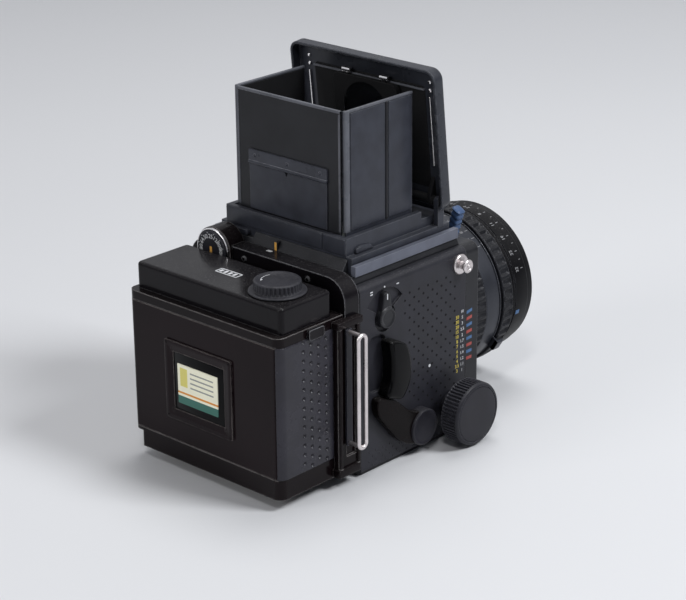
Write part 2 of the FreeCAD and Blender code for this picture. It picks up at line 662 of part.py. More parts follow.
def mirror_frame():
    """Mirror carrier at 45 degrees, with its pivot pins; built level and turned down."""
    y0 = MIRROR_Y - MIRROR_LEN
    z0 = MIRROR_Z - MIRROR_FRAME_T / 2
    plate = box(-MIRROR_HALF, MIRROR_HALF, y0, MIRROR_Y, z0, z0 + MIRROR_FRAME_T)
    hub = rod("x", MIRROR_Y, MIRROR_Z, MIRROR_FRAME_T / 2, -MIRROR_HALF, MIRROR_HALF)
    reach = MIRROR_BOX_HALF + MIRROR_BOX_WALL
    pin = rod("x", MIRROR_Y, MIRROR_Z, 1.2, -reach, reach)
    return drop(plate.fuse([hub, pin]), MIRROR_Y, MIRROR_Z, 45)


def mirror_glass():
    """Front-silvered glass on the carrier."""
    z0 = MIRROR_Z + MIRROR_FRAME_T / 2
    glass = box(-MIRROR_HALF + 1, MIRROR_HALF - 1, MIRROR_Y - MIRROR_LEN + 1, MIRROR_Y - 4,
                z0, z0 + MIRROR_GLASS_T)
    return drop(glass, MIRROR_Y, MIRROR_Z, 45)


# Front standard, lens and focusing drive

def front_standard():
    """Plate that carries the lens, with the focusing racks on two bars below."""
    y1 = BODY_FRONT - FLAT_GAP
    y0 = y1 - STANDARD_T
    plate = rounded("y", -BODY_HALF, BODY_HALF, STANDARD_LOW, STANDARD_HIGH, 5.0, y0, y1)
    lens_hole = rod("y", 0, AXIS_Z, TUBE_R, y0 - 1, y1 + 1)
    button = rod("y", RELEASE_X, RELEASE_Z, RELEASE_R + RUN_FIT, y0 - RELEASE_RING_T - 1, y1 - 2)
    collar = tube("y", RELEASE_X, RELEASE_Z, RELEASE_COLLAR_R, RELEASE_R + RUN_FIT,
                  y0 - FLAT_GAP - RELEASE_RING_T, y0 + 1)
    plate = plate.fuse(collar).cut([lens_hole, button])
    return [plate] + racks(y1)


def racks(y1):
    """The two toothed bars, drawn so that a gap faces the pinion's first tooth at rest."""
    pitch = math.pi * GEAR_MODULE
    pitch_z = PINION_Z - PINION_TEETH * GEAR_MODULE / 2
    half = 0.21 * pitch
    slope = math.tan(math.radians(20)) * GEAR_MODULE
    low = BASE_T + FLAT_GAP
    root = pitch_z - 1.25 * GEAR_MODULE
    tip = pitch_z + GEAR_MODULE
    first = PINION_Y - 1.5 * pitch
    count = int((FOCUS_TRAVEL + 3 * pitch) / pitch) + 1
    outline = [(y1, low), (y1, root)]
    for i in range(count):
        c = first + i * pitch
        outline += [(c - half - 1.25 * slope, root), (c - half + slope, tip),
                    (c + half - slope, tip), (c + half + 1.25 * slope, root)]
    end = first + count * pitch
    outline += [(end, root), (end, low)]
    w = RACK_W / 2
    return both_sides(prism("x", outline, -RACK_X - w, -RACK_X + w))


def pinion_shaft():
    """Cross shaft with a pinion over each rack."""
    end = KNOB_FACE - KNOB_T
    shaft = rod("x", PINION_Y, PINION_Z, SHAFT_R, -end, end)
    outline = gear_outline(PINION_TEETH, GEAR_MODULE, PINION_Y, PINION_Z, -math.pi / 2)
    w = RACK_W / 2
    pinion = prism("x", outline, -RACK_X - w, -RACK_X + w)
    return shaft.fuse(both_sides(pinion))


def focusing_knob(s):
    """Focusing knob with a fluted rim and a plain boss; s = -1 on the right."""
    x0 = KNOB_FACE - KNOB_T
    knob = rod("x", PINION_Y, PINION_Z, KNOB_R, x0, KNOB_FACE)
    rim = [e for e in knob.Edges if e.BoundBox.XMin > KNOB_FACE - 0.01]
    knob = knob.makeFillet(1.0, rim)
    flutes = []
    count = 40
    for i in range(count):
        a = 2 * math.pi * i / count
        flutes.append(rod("x", PINION_Y + KNOB_R * math.cos(a), PINION_Z + KNOB_R * math.sin(a),
                          0.55, x0 - 1, KNOB_FACE - 1.6))
    knob = knob.cut(flutes)
    boss = tube("x", PINION_Y, PINION_Z, KNOB_BOSS_R, SHAFT_R + RUN_FIT, BODY_HALF + FLAT_GAP, x0)
    knob = knob.fuse(boss)
    return knob if s > 0 else knob.mirror(V(0, 0, 0), V(1, 0, 0))


def focus_lock_lever():
    """Lever between the left knob and the cover that clamps the focusing shaft."""
    x0 = BODY_HALF + FLAT_GAP
    x1 = x0 + LOCK_LEVER_T
    ring = rod("x", PINION_Y, PINION_Z, LOCK_COLLAR_R + 3.0, x0, x1)
    arm = prism("x", [(PINION_Y - 4, PINION_Z), (PINION_Y + 4, PINION_Z), (PINION_Y + 3, PINION_Z + 24),
                      (PINION_Y - 3, PINION_Z + 24)], x0, x1)
    tip = rod("x", PINION_Y, PINION_Z + 24, 3.0, x0, x1 + 3)
    bore = rod("x", PINION_Y, PINION_Z, LOCK_COLLAR_R + RUN_FIT, x0 - 1, x1 + 1)
    return ring.fuse([arm, tip]).cut(bore)


def lens_rear_barrel():
    """Main tube of the lens, with the smooth band between the two ribbed rings."""
    barrel = rod("y", 0, AXIS_Z, TUBE_R, APERTURE_Y0 - FLAT_GAP, TUBE_REAR)
    band = rod("y", 0, AXIS_Z, BAND_R, BAND_Y0, BAYONET_Y0 - FLAT_GAP)
    bore = rod("y", 0, AXIS_Z, TUBE_BORE, APERTURE_Y0 - 2, TUBE_REAR + 1)
    return barrel.fuse(band).cut(bore)


def lens_front_barrel():
    """Front of the lens with the filter thread and the name ring."""
    y1 = APERTURE_Y0 - FLAT_GAP
    barrel = rod("y", 0, AXIS_Z, FRONT_R, LENS_FRONT, y1)
    edge = [e for e in barrel.Edges if e.BoundBox.YMax < LENS_FRONT + 0.01]
    barrel = barrel.makeFillet(0.8, edge)
    mouth = rod("y", 0, AXIS_Z, FILTER_R, LENS_FRONT - 1, LENS_FRONT + FILTER_DEPTH)
    cone = Part.makeCone(FILTER_R - 2, FRONT_GLASS_R, 3.5, V(0, LENS_FRONT + FILTER_DEPTH, AXIS_Z),
                         AXES["y"])
    bore = rod("y", 0, AXIS_Z, FRONT_GLASS_R, LENS_FRONT + FILTER_DEPTH, y1 + 1)
    return barrel.cut([mouth, cone, bore])


def glass(radius, y0, y1, bulge):
    """A lens between y0 and y1 at the rim; its faces are parts of spheres that bulge outwards."""
    ball = (radius ** 2 + bulge ** 2) / (2 * bulge)
    disc = rod("y", 0, AXIS_Z, radius, y0 - bulge, y1 + bulge)
    front = Part.makeSphere(ball, V(0, y0 - bulge + ball, AXIS_Z))
    rear = Part.makeSphere(ball, V(0, y1 + bulge - ball, AXIS_Z))
    return disc.common(front).common(rear)


def lens_elements():
    """Front and rear glass, each in its seat."""
    seat = FRONT_GLASS_R - RUN_FIT
    front = glass(seat, LENS_FRONT + 10, LENS_FRONT + 15, 4.0)
    rear = glass(TUBE_BORE - RUN_FIT, TUBE_REAR - 10, TUBE_REAR - 5, 3.0)
    return [front, rear]


def lens_shutter():
    """Leaf shutter unit, its blades drawn back from the stop."""
    y0 = BAND_Y0 + 2
    return tube("y", 0, AXIS_Z, TUBE_BORE - RUN_FIT, STOP_R, y0, y0 + SHUTTER_LEN)


def ribbed_ring(outer, inner, y0, y1, count):
    """A ring with straight ribs cut along its rim."""
    ring = tube("y", 0, AXIS_Z, outer, inner, y0, y1)
    cuts = []
    for i in range(count):
        a = 2 * math.pi * i / count
        cuts.append(rod("y", outer * math.cos(a), AXIS_Z + outer * math.sin(a), 0.7,
                        y0 + 1.5, y1 - 1.5))
    return ring.cut(cuts)


def bayonet_ring():
    """Ribbed ring that locks the lens to the standard, with its blue-tipped tab."""
    y1 = BODY_FRONT - FLAT_GAP - STANDARD_T - FLAT_GAP
    ring = ribbed_ring(BAYONET_R, TUBE_R + RUN_FIT, BAYONET_Y0, y1, 48)
    tab = rounded("y", -LOCK_TAB_W / 2, LOCK_TAB_W / 2, BAYONET_R - 3, LOCK_TAB_R, 1.5,
                  BAYONET_Y0 + 1.5, BAYONET_Y0 + 1.5 + LOCK_TAB_T)
    tab = tab.cut(rod("y", 0, 0, BAYONET_R, BAYONET_Y0, y1))
    tab.rotate(V(0, 0, 0), V(0, 1, 0), -LOCK_TAB_ANGLE)
    tab.translate(V(0, 0, AXIS_Z))
    return [ring, tab]


def aperture_ring():
    """Ribbed ring that sets the stop."""
    y1 = BAND_Y0 - TAB_RING_T - 2 * FLAT_GAP
    return ribbed_ring(APERTURE_R, TUBE_R + RUN_FIT, APERTURE_Y0, y1, 48)


def at_preview_angle(shape):
    """A shape drawn above the lens axis, turned to the depth of field tab's place."""
    shape.rotate(V(0, 0, 0), V(0, 1, 0), -PREVIEW_ANGLE)
    shape.translate(V(0, 0, AXIS_Z))
    return shape


def preview_ring():
    """Thin ring behind the aperture ring, with the ear that carries the depth of field tab."""
    y1 = BAND_Y0 - FLAT_GAP
    y0 = y1 - TAB_RING_T
    ring = tube("y", 0, AXIS_Z, BAND_R, TUBE_R + RUN_FIT, y0, y1)
    ear = box(-TAB_HALF, TAB_HALF, y0, y1, BAND_R - 1, APERTURE_R + TAB_RISE)
    ear = ear.cut(rod("y", 0, 0, BAND_R - 0.5, y0 - 1, y1 + 1))
    return ring.fuse(at_preview_angle(ear))


def preview_tab():
    """Depth of field tab over the aperture ring, fixed to its ring's ear."""
    y1 = BAND_Y0 - FLAT_GAP - TAB_RING_T
    tab = box(-TAB_HALF, TAB_HALF, y1 - TAB_LEN, y1, BAND_R, APERTURE_R + TAB_RISE)
    tab = tab.cut(rod("y", 0, 0, APERTURE_R + FLAT_GAP, y1 - TAB_LEN - 1, y1 + 1))
    return at_preview_angle(tab)


def release_button():
    """Shutter release on the front, with its stem in the standard."""
    y1 = BODY_FRONT - FLAT_GAP - 2 - FLAT_GAP - RELEASE_TRAVEL
    y0 = BODY_FRONT - FLAT_GAP - STANDARD_T - 4.5
    return rod("y", RELEASE_X, RELEASE_Z, RELEASE_R, y0, y1)


def release_lock_ring():
    """Collar round the release that locks it."""
    y1 = BODY_FRONT - FLAT_GAP - STANDARD_T - FLAT_GAP
    y0 = y1 - RELEASE_RING_T
    ring = tube("y", RELEASE_X, RELEASE_Z, RELEASE_COLLAR_R + 3.0, RELEASE_COLLAR_R + RUN_FIT, y0, y1)
    lever = box(RELEASE_X + RELEASE_COLLAR_R + 1, RELEASE_X + RELEASE_COLLAR_R + 5.4, y0, y1,
                RELEASE_Z - 1.5, RELEASE_Z + 1.5)
    return ring.fuse(lever)


# Finder

def finder_base():
    """Base of the waist-level finder: well, collar, lid ears and pin holes."""
    lower = box(-BASE_HALF, BASE_HALF, BASE_FRONT, BASE_REAR, DECK_TOP, BASE_STEP_Z)
    front = box(-COLLAR_HALF, COLLAR_HALF, BASE_FRONT, WELL_FRONT, BASE_STEP_Z, BASE_FRONT_TOP)
    collar = box(-COLLAR_HALF, COLLAR_HALF, COLLAR_FRONT, BASE_REAR, BASE_STEP_Z, COLLAR_TOP)
    well = box(-WELL_HALF, WELL_HALF, WELL_FRONT, WELL_REAR, DECK_TOP - 1, COLLAR_TOP + 1)
    gap = box(-WELL_HALF, WELL_HALF, COLLAR_FRONT - 1, WELL_FRONT + 1, BASE_FRONT_TOP, COLLAR_TOP + 1)
    nose = box(-WELL_HALF, WELL_HALF, BASE_FRONT + 3, WELL_FRONT - 3, DECK_TOP - 1, BASE_FRONT_TOP - 3)
    ear = box(-EAR_X1, -EAR_X0, LID_PIVOT_Y - EAR_R, LID_PIVOT_Y + EAR_R, BASE_STEP_Z - 1, LID_PIVOT_Z)
    ear = ear.fuse(rod("x", LID_PIVOT_Y, LID_PIVOT_Z, EAR_R, -EAR_X1, -EAR_X0))
    body = lower.fuse([front, collar] + both_sides(ear))
    pins = [rod("x", LID_PIVOT_Y, LID_PIVOT_Z, LID_PIN_R + RUN_FIT, -EAR_X1 - 1, EAR_X1 + 1)]
    pr = LEAF_PIN_R + RUN_FIT
    x = HOOD_HALF - LEAF_T / 2
    for s, z in ((-1, RIGHT_LEAF_Z), (1, LEFT_LEAF_Z)):
        pins.append(rod("y", s * x, z, pr, WELL_FRONT - 1.5, WELL_REAR + 1.5))
    pins.append(rod("x", HOOD_REAR - LEAF_T / 2, REAR_LEAF_Z, pr, -WELL_HALF - 1.5, WELL_HALF + 1.5))
    g = TRIM_GAP
    x = TAB_X0 + TAB_STEM_IN
    slot = box(x - g, x + TAB_STEM_W + TAB_TRAVEL + 2 * g, BASE_REAR - 2, BASE_REAR + 1,
               TAB_Z0 + TAB_H / 2 - 0.7 - g, TAB_Z0 + TAB_H / 2 + 0.7 + g)
    return body.cut([well, gap, nose, slot] + pins).removeSplitter()


def finder_release_tab():
    """Sliding tab at the rear left that frees the finder."""
    y0 = BASE_REAR + FLAT_GAP
    tab = rounded("y", TAB_X0, TAB_X1, TAB_Z0, TAB_Z0 + TAB_H, 1.2, y0, y0 + 2.2)
    x = TAB_X0 + TAB_STEM_IN
    stem = box(x, x + TAB_STEM_W, BASE_REAR - 1.8, y0, TAB_Z0 + TAB_H / 2 - 0.7,
               TAB_Z0 + TAB_H / 2 + 0.7)
    return tab.fuse(stem)


def side_leaf(s, z0):
    """A finder side leaf with its rolled rear post, pivot knuckle and pins."""
    x = HOOD_HALF - LEAF_T / 2
    leaf = box(HOOD_HALF - LEAF_T, HOOD_HALF, HOOD_FRONT, side_leaf_rear(), z0, HOOD_TOP)
    post = box(HOOD_HALF - POST_W, HOOD_HALF, side_leaf_rear() - POST_W + 0.4, side_leaf_rear(),
               COLLAR_TOP + 1, HOOD_TOP)
    knuckle = rod("y", x, z0, LEAF_KNUCKLE_R, HOOD_FRONT, side_leaf_rear())
    pin = rod("y", x, z0, LEAF_PIN_R, WELL_FRONT - 1.2, WELL_REAR + 1.2)
    leaf = leaf.fuse([post, knuckle, pin])
    return leaf if s > 0 else leaf.mirror(V(0, 0, 0), V(1, 0, 0))


def side_leaf_rear():
    """Rear edge of the side leaves, just in front of the rear leaf."""
    return HOOD_REAR - LEAF_T - TRIM_GAP


def rear_leaf():
    """Rear leaf of the finder, between the side leaves' posts."""
    y = HOOD_REAR - LEAF_T / 2
    leaf = box(-REAR_LEAF_HALF, REAR_LEAF_HALF, HOOD_REAR - LEAF_T, HOOD_REAR, REAR_LEAF_Z, HOOD_TOP)
    knuckle = rod("x", y, REAR_LEAF_Z, LEAF_T / 2, -REAR_LEAF_HALF, REAR_LEAF_HALF)
    pin = rod("x", y, REAR_LEAF_Z, LEAF_PIN_R, -WELL_HALF - 1.2, WELL_HALF + 1.2)
    return leaf.fuse([knuckle, pin])


def rear_leaf_clip():
    """Clip strip with three rivets on the rear leaf, and the flap that it holds."""
    y = HOOD_REAR
    strip = rounded("y", -CLIP_HALF, CLIP_HALF, CLIP_LOW, CLIP_HIGH, 1.0, y, y + CLIP_T)
    z = (CLIP_LOW + CLIP_HIGH) / 2
    rivets = [rod("y", x, z, 0.9, y, y + CLIP_T + 0.4) for x in (-CLIP_HALF + 4.5, 0, CLIP_HALF - 4.5)]
    flap = box(-CLIP_HALF, CLIP_HALF, y, y + FLAP_T, FLAP_LOW, CLIP_LOW - TRIM_GAP)
    return [strip.fuse(rivets), flap]


def finder_lid():
    """Tray-shaped lid, drawn closed and turned up about its pivot."""
    y0 = LID_PIVOT_Y - LID_FORE
    y1 = LID_PIVOT_Y + LID_AFT
    z1 = LID_PIVOT_Z + LID_PLATE_UP
    lid = rounded("z", -LID_HALF, LID_HALF, y0, y1, 5.0, LID_RIM_LOW, z1 + LID_T)
    tray = rounded("z", -LID_HALF + LID_RIM, LID_HALF - LID_RIM, y0 + LID_RIM, y1 - LID_RIM, 3.4,
                   LID_RIM_LOW - 1, z1)
    gate = box(-EAR_X1 - 1, EAR_X1 + 1, y0 - 1, y0 + LID_RIM + 1, LID_RIM_LOW - 1, z1)
    lid = lid.cut([tray, gate])
    pins = both_sides(rod("x", LID_PIVOT_Y, LID_PIVOT_Z, LID_PIN_R, -LID_HALF + 0.5, -EAR_X0 + 0.5))
    lugs = []
    my = LID_PIVOT_Y + MAGNIFIER_AFT
    for s in (-1, 1):
        x = s * MAGNIFIER_PIN_X
        lug = box(x - 3.2, x + 3.2, my - 1.4, my + 1.4, LID_PIVOT_Z, z1)
        lug = lug.fuse(rod("x", my, LID_PIVOT_Z, 1.4, x - 3.2, x + 3.2))
        slot = box(x - 1.7, x + 1.7, my - 3, my + 3, LID_PIVOT_Z - 3, z1 - 0.3)
        lugs.append(lug.cut([slot, rod("x", my, LID_PIVOT_Z, 0.8 + RUN_FIT, x - 4, x + 4)]))
    return drop(lid.fuse(pins + lugs), LID_PIVOT_Y, LID_PIVOT_Z, LID_OPEN_DEG)


def magnifier_frame():
    """Swing-out frame of the magnifier, stowed in the lid, with its pivot pins."""
    my = LID_PIVOT_Y + MAGNIFIER_AFT
    z0 = LID_PIVOT_Z - MAGNIFIER_T / 2
    y0 = my - MAGNIFIER_LEN
    frame = rounded("z", -MAGNIFIER_HALF, MAGNIFIER_HALF, y0, my - 2.2, 4.0, z0, z0 + MAGNIFIER_T)
    cy = magnifier_centre()
    frame = frame.cut(rod("z", 0, cy, MAGNIFIER_LENS_R + RUN_FIT, z0 - 1, z0 + MAGNIFIER_T + 1))
    arms = []
    for s in (-1, 1):
        x = s * MAGNIFIER_PIN_X
        arm = box(x - 1.4, x + 1.4, my - 3, my, z0 + 0.3, z0 + MAGNIFIER_T - 0.3)
        arms.append(arm)
        arms.append(rod("x", my, LID_PIVOT_Z, 1.2, x - 1.4, x + 1.4))
        arms.append(rod("x", my, LID_PIVOT_Z, 0.8, x - 3.2, x + 3.2))
    return drop(frame.fuse(arms), LID_PIVOT_Y, LID_PIVOT_Z, LID_OPEN_DEG)


def magnifier_centre():
    """Centre of the magnifier's lens, lid closed."""
    return LID_PIVOT_Y + MAGNIFIER_AFT - 2.2 - MAGNIFIER_LENS_R - 2.2


def magnifier_lens():
    """The magnifier's glass."""
    disc = rod("z", 0, magnifier_centre(), MAGNIFIER_LENS_R, LID_PIVOT_Z - 1.2, LID_PIVOT_Z + 1.2)
    return drop(disc, LID_PIVOT_Y, LID_PIVOT_Z, LID_OPEN_DEG)


# Revolving adapter and film back

def revolving_adapter():
    """Square rotating adapter with a round spigot in the body, and two stud screws."""
    h = ADAPTER_HALF
    front = BODY_REAR + FLAT_GAP
    plate = rounded("y", -h, h, AXIS_Z - h, AXIS_Z + h, ADAPTER_R, front, ADAPTER_REAR)
    spigot = rod("y", 0, AXIS_Z, SPIGOT_R, BODY_REAR - SHELL_WALL + 0.2, front)
    o = ADAPTER_OPEN
    opening = box(-o, o, front - 0.01, ADAPTER_REAR + 1, AXIS_Z - o, AXIS_Z + o)
    throat = rod("y", 0, AXIS_Z, SPIGOT_R - SPIGOT_WALL, BODY_REAR - SHELL_WALL - 1, front)
    side = box(-h - 1, -BACK_HALF + FLAT_GAP, GUIDE_Y0 - TRIM_GAP, ADAPTER_REAR + 1, AXIS_Z - h - 1,
               GUIDE_HIGH + TRIM_GAP)
    plate = plate.cut([opening, side]).fuse(spigot.cut(throat))
    studs = [rod("y", x, AXIS_Z + h - 4.5, 1.3, ADAPTER_REAR, ADAPTER_REAR + 0.8) for x in (15.0, -29.5)]
    return [plate] + studs


def back_shell():
    """Film back casting: chamber, spool pivots and the dial's tower."""
    shell = box(-BACK_HALF, BACK_HALF, ADAPTER_REAR, BACK_REAR, BACK_LOW, BACK_TOP)
    edges = [e for e in shell.Edges if abs(e.BoundBox.YMin - BACK_REAR) < 0.01
             and e.BoundBox.ZLength > 10]
    shell = shell.makeFillet(BACK_CORNER, edges)
    step = box(STEP_X, BACK_HALF + 1, ADAPTER_REAR - 1, BACK_REAR + 1, BACK_LOW - 1, STEP_Z)
    w = BACK_WALL
    gate_front = FILM_PLANE - GATE_T
    chamber = box(-BACK_HALF + w, BACK_HALF - w, gate_front, BACK_REAR - DOOR_T - 0.2, CHAMBER_LOW,
                  CHAMBER_HIGH)
    door = box(-DOOR_HALF - FLAT_GAP, DOOR_HALF + 2.3 * FLAT_GAP, BACK_REAR - DOOR_T - 1, BACK_REAR + 1,
               CHAMBER_LOW, CHAMBER_HIGH)
    ow, oh = FRAME_W / 2 + 0.5, FRAME_H / 2 + 0.5
    window = box(-ow, ow, ADAPTER_REAR - 1, gate_front + 1, AXIS_Z - oh, AXIS_Z + oh)
    slot = box(-BACK_HALF - 1, SLIDE_IN + 1, SLIDE_Y - 0.15, gate_front + 0.01,
               AXIS_Z - SLIDE_HALF_H - FLAT_GAP, AXIS_Z + SLIDE_HALF_H + FLAT_GAP)
    pin = rod("z", DOOR_PIN_X, DOOR_PIN_Y, DOOR_PIN_R + RUN_FIT, CHAMBER_LOW - 1.5, CHAMBER_HIGH + 1.5)
    axle = rod("z", -SPOOL_X, SPOOL_Y, SPOOL_AXLE_R + RUN_FIT, CHAMBER_HIGH - 1, BACK_TOP + 1)
    well = box(-BACK_HALF + 4, STEP_X - 4, ADAPTER_REAR + 8, BACK_REAR - 8, BACK_LOW + WELL_FLOOR,
               CHAMBER_LOW + 1)
    lip = BACK_TOP - CHAMBER_HIGH - 2
    recess = box(-HOUSING_HALF + 6, HOUSING_HALF - 6, HOUSING_FRONT + 4, HOUSING_REAR - 4,
                 BACK_TOP - lip, BACK_TOP + 1)
    shell = shell.cut([step, chamber, door, window, slot, pin, axle, recess, well, catch_slot()])
    spool_low = AXIS_Z - SPOOL_LEN / 2
    pivots = []
    for s in (-1, 1):
        pivots.append(rod("z", s * SPOOL_X, SPOOL_Y, 5.0, BACK_LOW + WELL_FLOOR - 0.5,
                          spool_low - FLAT_GAP))
        pivots.append(rod("z", s * SPOOL_X, SPOOL_Y, SPOOL_AXLE_R, spool_low - 1, spool_low + 8))
    pivots.append(rod("z", SPOOL_X, SPOOL_Y, SPOOL_AXLE_R, spool_low + SPOOL_LEN - 6, CHAMBER_HIGH + 0.5))
    pivots.append(rod("z", counter_x(), SPOOL_Y, 1.5, BACK_TOP - lip - 0.5, BACK_TOP + 8))
    return shell.fuse(pivots + [dial_tower()]).removeSplitter()


def dial_tower():
    """Rounded tower over the adapter that carries the film speed dial."""
    over = AXIS_Z + ADAPTER_HALF + FLAT_GAP
    tower = rod("y", DIAL_X, DIAL_Z, TOWER_R, TOWER_Y0, TOWER_Y1)
    below = box(DIAL_X - TOWER_R - 1, DIAL_X + TOWER_R + 1, TOWER_Y0 - 1, ADAPTER_REAR + TRIM_GAP,
                DIAL_Z - TOWER_R - 1, over)
    stem = box(DIAL_X - TOWER_R, DIAL_X + TOWER_R, ADAPTER_REAR + TRIM_GAP, TOWER_Y1, BACK_TOP - 1, DIAL_Z)
    axle = rod("y", DIAL_X, DIAL_Z, 2.0, TOWER_Y1 - 1, TOWER_Y1 + DIAL_T - 0.4)
    return tower.cut(below).fuse([stem, axle])


def film_speed_dial():
    """Numbered dial on the tower, facing the rear."""
    y0 = TOWER_Y1 + FLAT_GAP
    return rod("y", DIAL_X, DIAL_Z, DIAL_R, y0, y0 + DIAL_T).cut(
        rod("y", DIAL_X, DIAL_Z, 2.0 + RUN_FIT, y0 - 1, y0 + DIAL_T - 0.4))


def counter_x():
    """Centre of the counter wheel, in mesh with the winding gear."""
    return -SPOOL_X + (WIND_TEETH + COUNTER_TEETH) * FILM_GEAR_MODULE / 2


def top_housing():
    """Cover over the winding gear on top of the film back."""
    h = HOUSING_HALF
    housing = rounded("z", -h, h, HOUSING_FRONT, HOUSING_REAR, 2.5, BACK_TOP, HOUSING_TOP)
    rim = [e for e in housing.Edges if e.BoundBox.ZMin > HOUSING_TOP - 0.01]
    housing = housing.makeFillet(1.8, rim)
    w = HOUSING_WALL
    hollow = box(-h + w, h - w, HOUSING_FRONT + w, HOUSING_REAR - w, BACK_TOP - 1, HOUSING_TOP - w)
    hole = rod("z", -SPOOL_X, SPOOL_Y, SPOOL_AXLE_R + RUN_FIT, BACK_TOP, HOUSING_TOP + 1)
    return housing.cut([hollow, hole])


def film_gate():
    """Gate plate with the picture opening, and the two guide rollers beside it."""
    x = BACK_HALF - BACK_WALL - TRIM_GAP
    gate = box(-x, x, FILM_PLANE - GATE_T, FILM_PLANE, CHAMBER_LOW + TRIM_GAP, CHAMBER_HIGH - TRIM_GAP)
    gate = gate.cut(box(-FRAME_W / 2, FRAME_W / 2, FILM_PLANE - GATE_T - 1, FILM_PLANE + 1,
                        AXIS_Z - FRAME_H / 2, AXIS_Z + FRAME_H / 2))
    rollers = [rod("z", s * (FRAME_W / 2 + 9), FILM_PLANE + 3.6, 3.2, CHAMBER_LOW, CHAMBER_HIGH)
               for s in (-1, 1)]
    return [gate] + rollers


def pressure_plate():
    """Plate that holds the film flat, on two leaf springs."""
    y = FILM_PLANE + 0.5
    plate = box(-FRAME_W / 2 - 2, FRAME_W / 2 + 2, y, y + 1.5, AXIS_Z - FRAME_H / 2 - 3,
                AXIS_Z + FRAME_H / 2 + 3)
    return plate


def slide_guide():
    """Guide frame on the right that the dark slide passes through."""
    x0 = -BACK_HALF - GUIDE_T
    frame = box(x0, -BACK_HALF, GUIDE_Y0, GUIDE_Y1, GUIDE_LOW, GUIDE_HIGH)
    slot = box(x0 - 1, -BACK_HALF + 1, SLIDE_Y - 0.15, SLIDE_Y + SLIDE_T + 0.15,
               AXIS_Z - SLIDE_HALF_H - FLAT_GAP, AXIS_Z + SLIDE_HALF_H + FLAT_GAP)
    panel = box(x0 - 1, x0 + 1.2, GUIDE_Y0 + 2.5, GUIDE_Y1 - 6, GUIDE_PANEL_LOW, GUIDE_PANEL_HIGH)
    return frame.cut([slot, panel])


def dark_slide():
    """Thin sheet that covers the film gate, with a stiff end bar."""
    x0 = -BACK_HALF - GUIDE_T - 0.8
    z0, z1 = AXIS_Z - SLIDE_HALF_H, AXIS_Z + SLIDE_HALF_H
    sheet = box(x0, SLIDE_IN, SLIDE_Y, SLIDE_Y + SLIDE_T, z0, z1)
    bar = box(x0 - 1.2, x0, SLIDE_Y - 1.5, SLIDE_Y + SLIDE_T + 1.5, z0, z1)
    return sheet.fuse(bar)


def dark_slide_handle():
    """Wire loop at the end of the dark slide."""
    y = SLIDE_Y + SLIDE_T / 2
    w, h, r = LOOP_HALF_W, LOOP_HALF_H, LOOP_HALF_W
    x = -LOOP_X

    def p(dy, dz):
        return V(x, y + dy, AXIS_Z + dz)
    path = Part.Wire([Part.makeLine(p(-w, -h + r), p(-w, h - r)),
                      Part.Arc(p(-w, h - r), p(0, h), p(w, h - r)).toShape(),
                      Part.makeLine(p(w, h - r), p(w, -h + r)),
                      Part.Arc(p(w, -h + r), p(0, -h), p(-w, -h + r)).toShape()])
    ring = Part.Wire([Part.makeCircle(WIRE_R, p(-w, -h + r), V(0, 0, 1))])
    loop = path.makePipeShell([ring], True, False)
    x1 = -BACK_HALF - GUIDE_T - 2.0
    stems = [rod("x", y, AXIS_Z + s * (h - 0.2), WIRE_R, x, x1) for s in (-1, 1)]
    return loop.fuse(stems)


def rear_door():
    """Door over the film chamber, hung on a pin inside its left edge."""
    h = DOOR_HALF
    door = box(-h, h, BACK_REAR - DOOR_T, BACK_REAR, CHAMBER_LOW + FLAT_GAP, CHAMBER_HIGH - FLAT_GAP)
    outer = [e for e in door.Edges if abs(e.BoundBox.YMin - BACK_REAR) < 0.01
             and e.BoundBox.ZLength > 10]
    door = door.makeFillet(0.8, outer)
    pin = rod("z", DOOR_PIN_X, DOOR_PIN_Y, DOOR_PIN_R, CHAMBER_LOW - 1.2, CHAMBER_HIGH + 1.2)
    return door.fuse(pin)


def door_catch():
    """Sliding catch on the right side of the back, its stem in a slot."""
    x = -BACK_HALF - FLAT_GAP
    z0, z1 = CATCH_Z - CATCH_H / 2, CATCH_Z + CATCH_H / 2
    tab = rounded("x", CATCH_Y0, CATCH_Y0 + CATCH_LEN, z0, z1, 1.2, x - CATCH_T, x)
    stem = box(x, -BACK_HALF + CATCH_STEM, CATCH_Y0 + 2, CATCH_Y0 + 6, CATCH_Z - 1, CATCH_Z + 1)
    return tab.fuse(stem)


def catch_slot():
    """Slot in the shell that the catch's stem slides in."""
    g = TRIM_GAP
    return box(-BACK_HALF - 1, -BACK_HALF + CATCH_STEM + g, CATCH_Y0 + 2 - g,
               CATCH_Y0 + 6 + CATCH_TRAVEL + g, CATCH_Z - 1 - g, CATCH_Z + 1 + g)


def memo_holder():
    """Frame on the door that holds a card."""
    y0 = BACK_REAR
    frame = rounded("y", MEMO_X0, MEMO_X1, MEMO_Z0, MEMO_Z1, 1.5, y0, y0 + MEMO_T)
    b = MEMO_BORDER
    window = box(MEMO_X0 + b, MEMO_X1 - b, y0 - 1, y0 + 2 * MEMO_T, MEMO_Z0 + b, MEMO_Z1 - b)
    pocket = box(MEMO_X0 + b - 2, MEMO_X1 - b + 2, y0 - 1, y0 + 0.5, MEMO_Z0 + b - 2, MEMO_Z1 - b + 2)
    return frame.cut([window, pocket])


def film_card():
    """Card in the holder."""
    b = MEMO_BORDER
    return box(MEMO_X0 + b - 1.8, MEMO_X1 - b + 1.8, BACK_REAR, BACK_REAR + 0.4, MEMO_Z0 + b - 1.8,
               MEMO_Z1 - b + 1.8)


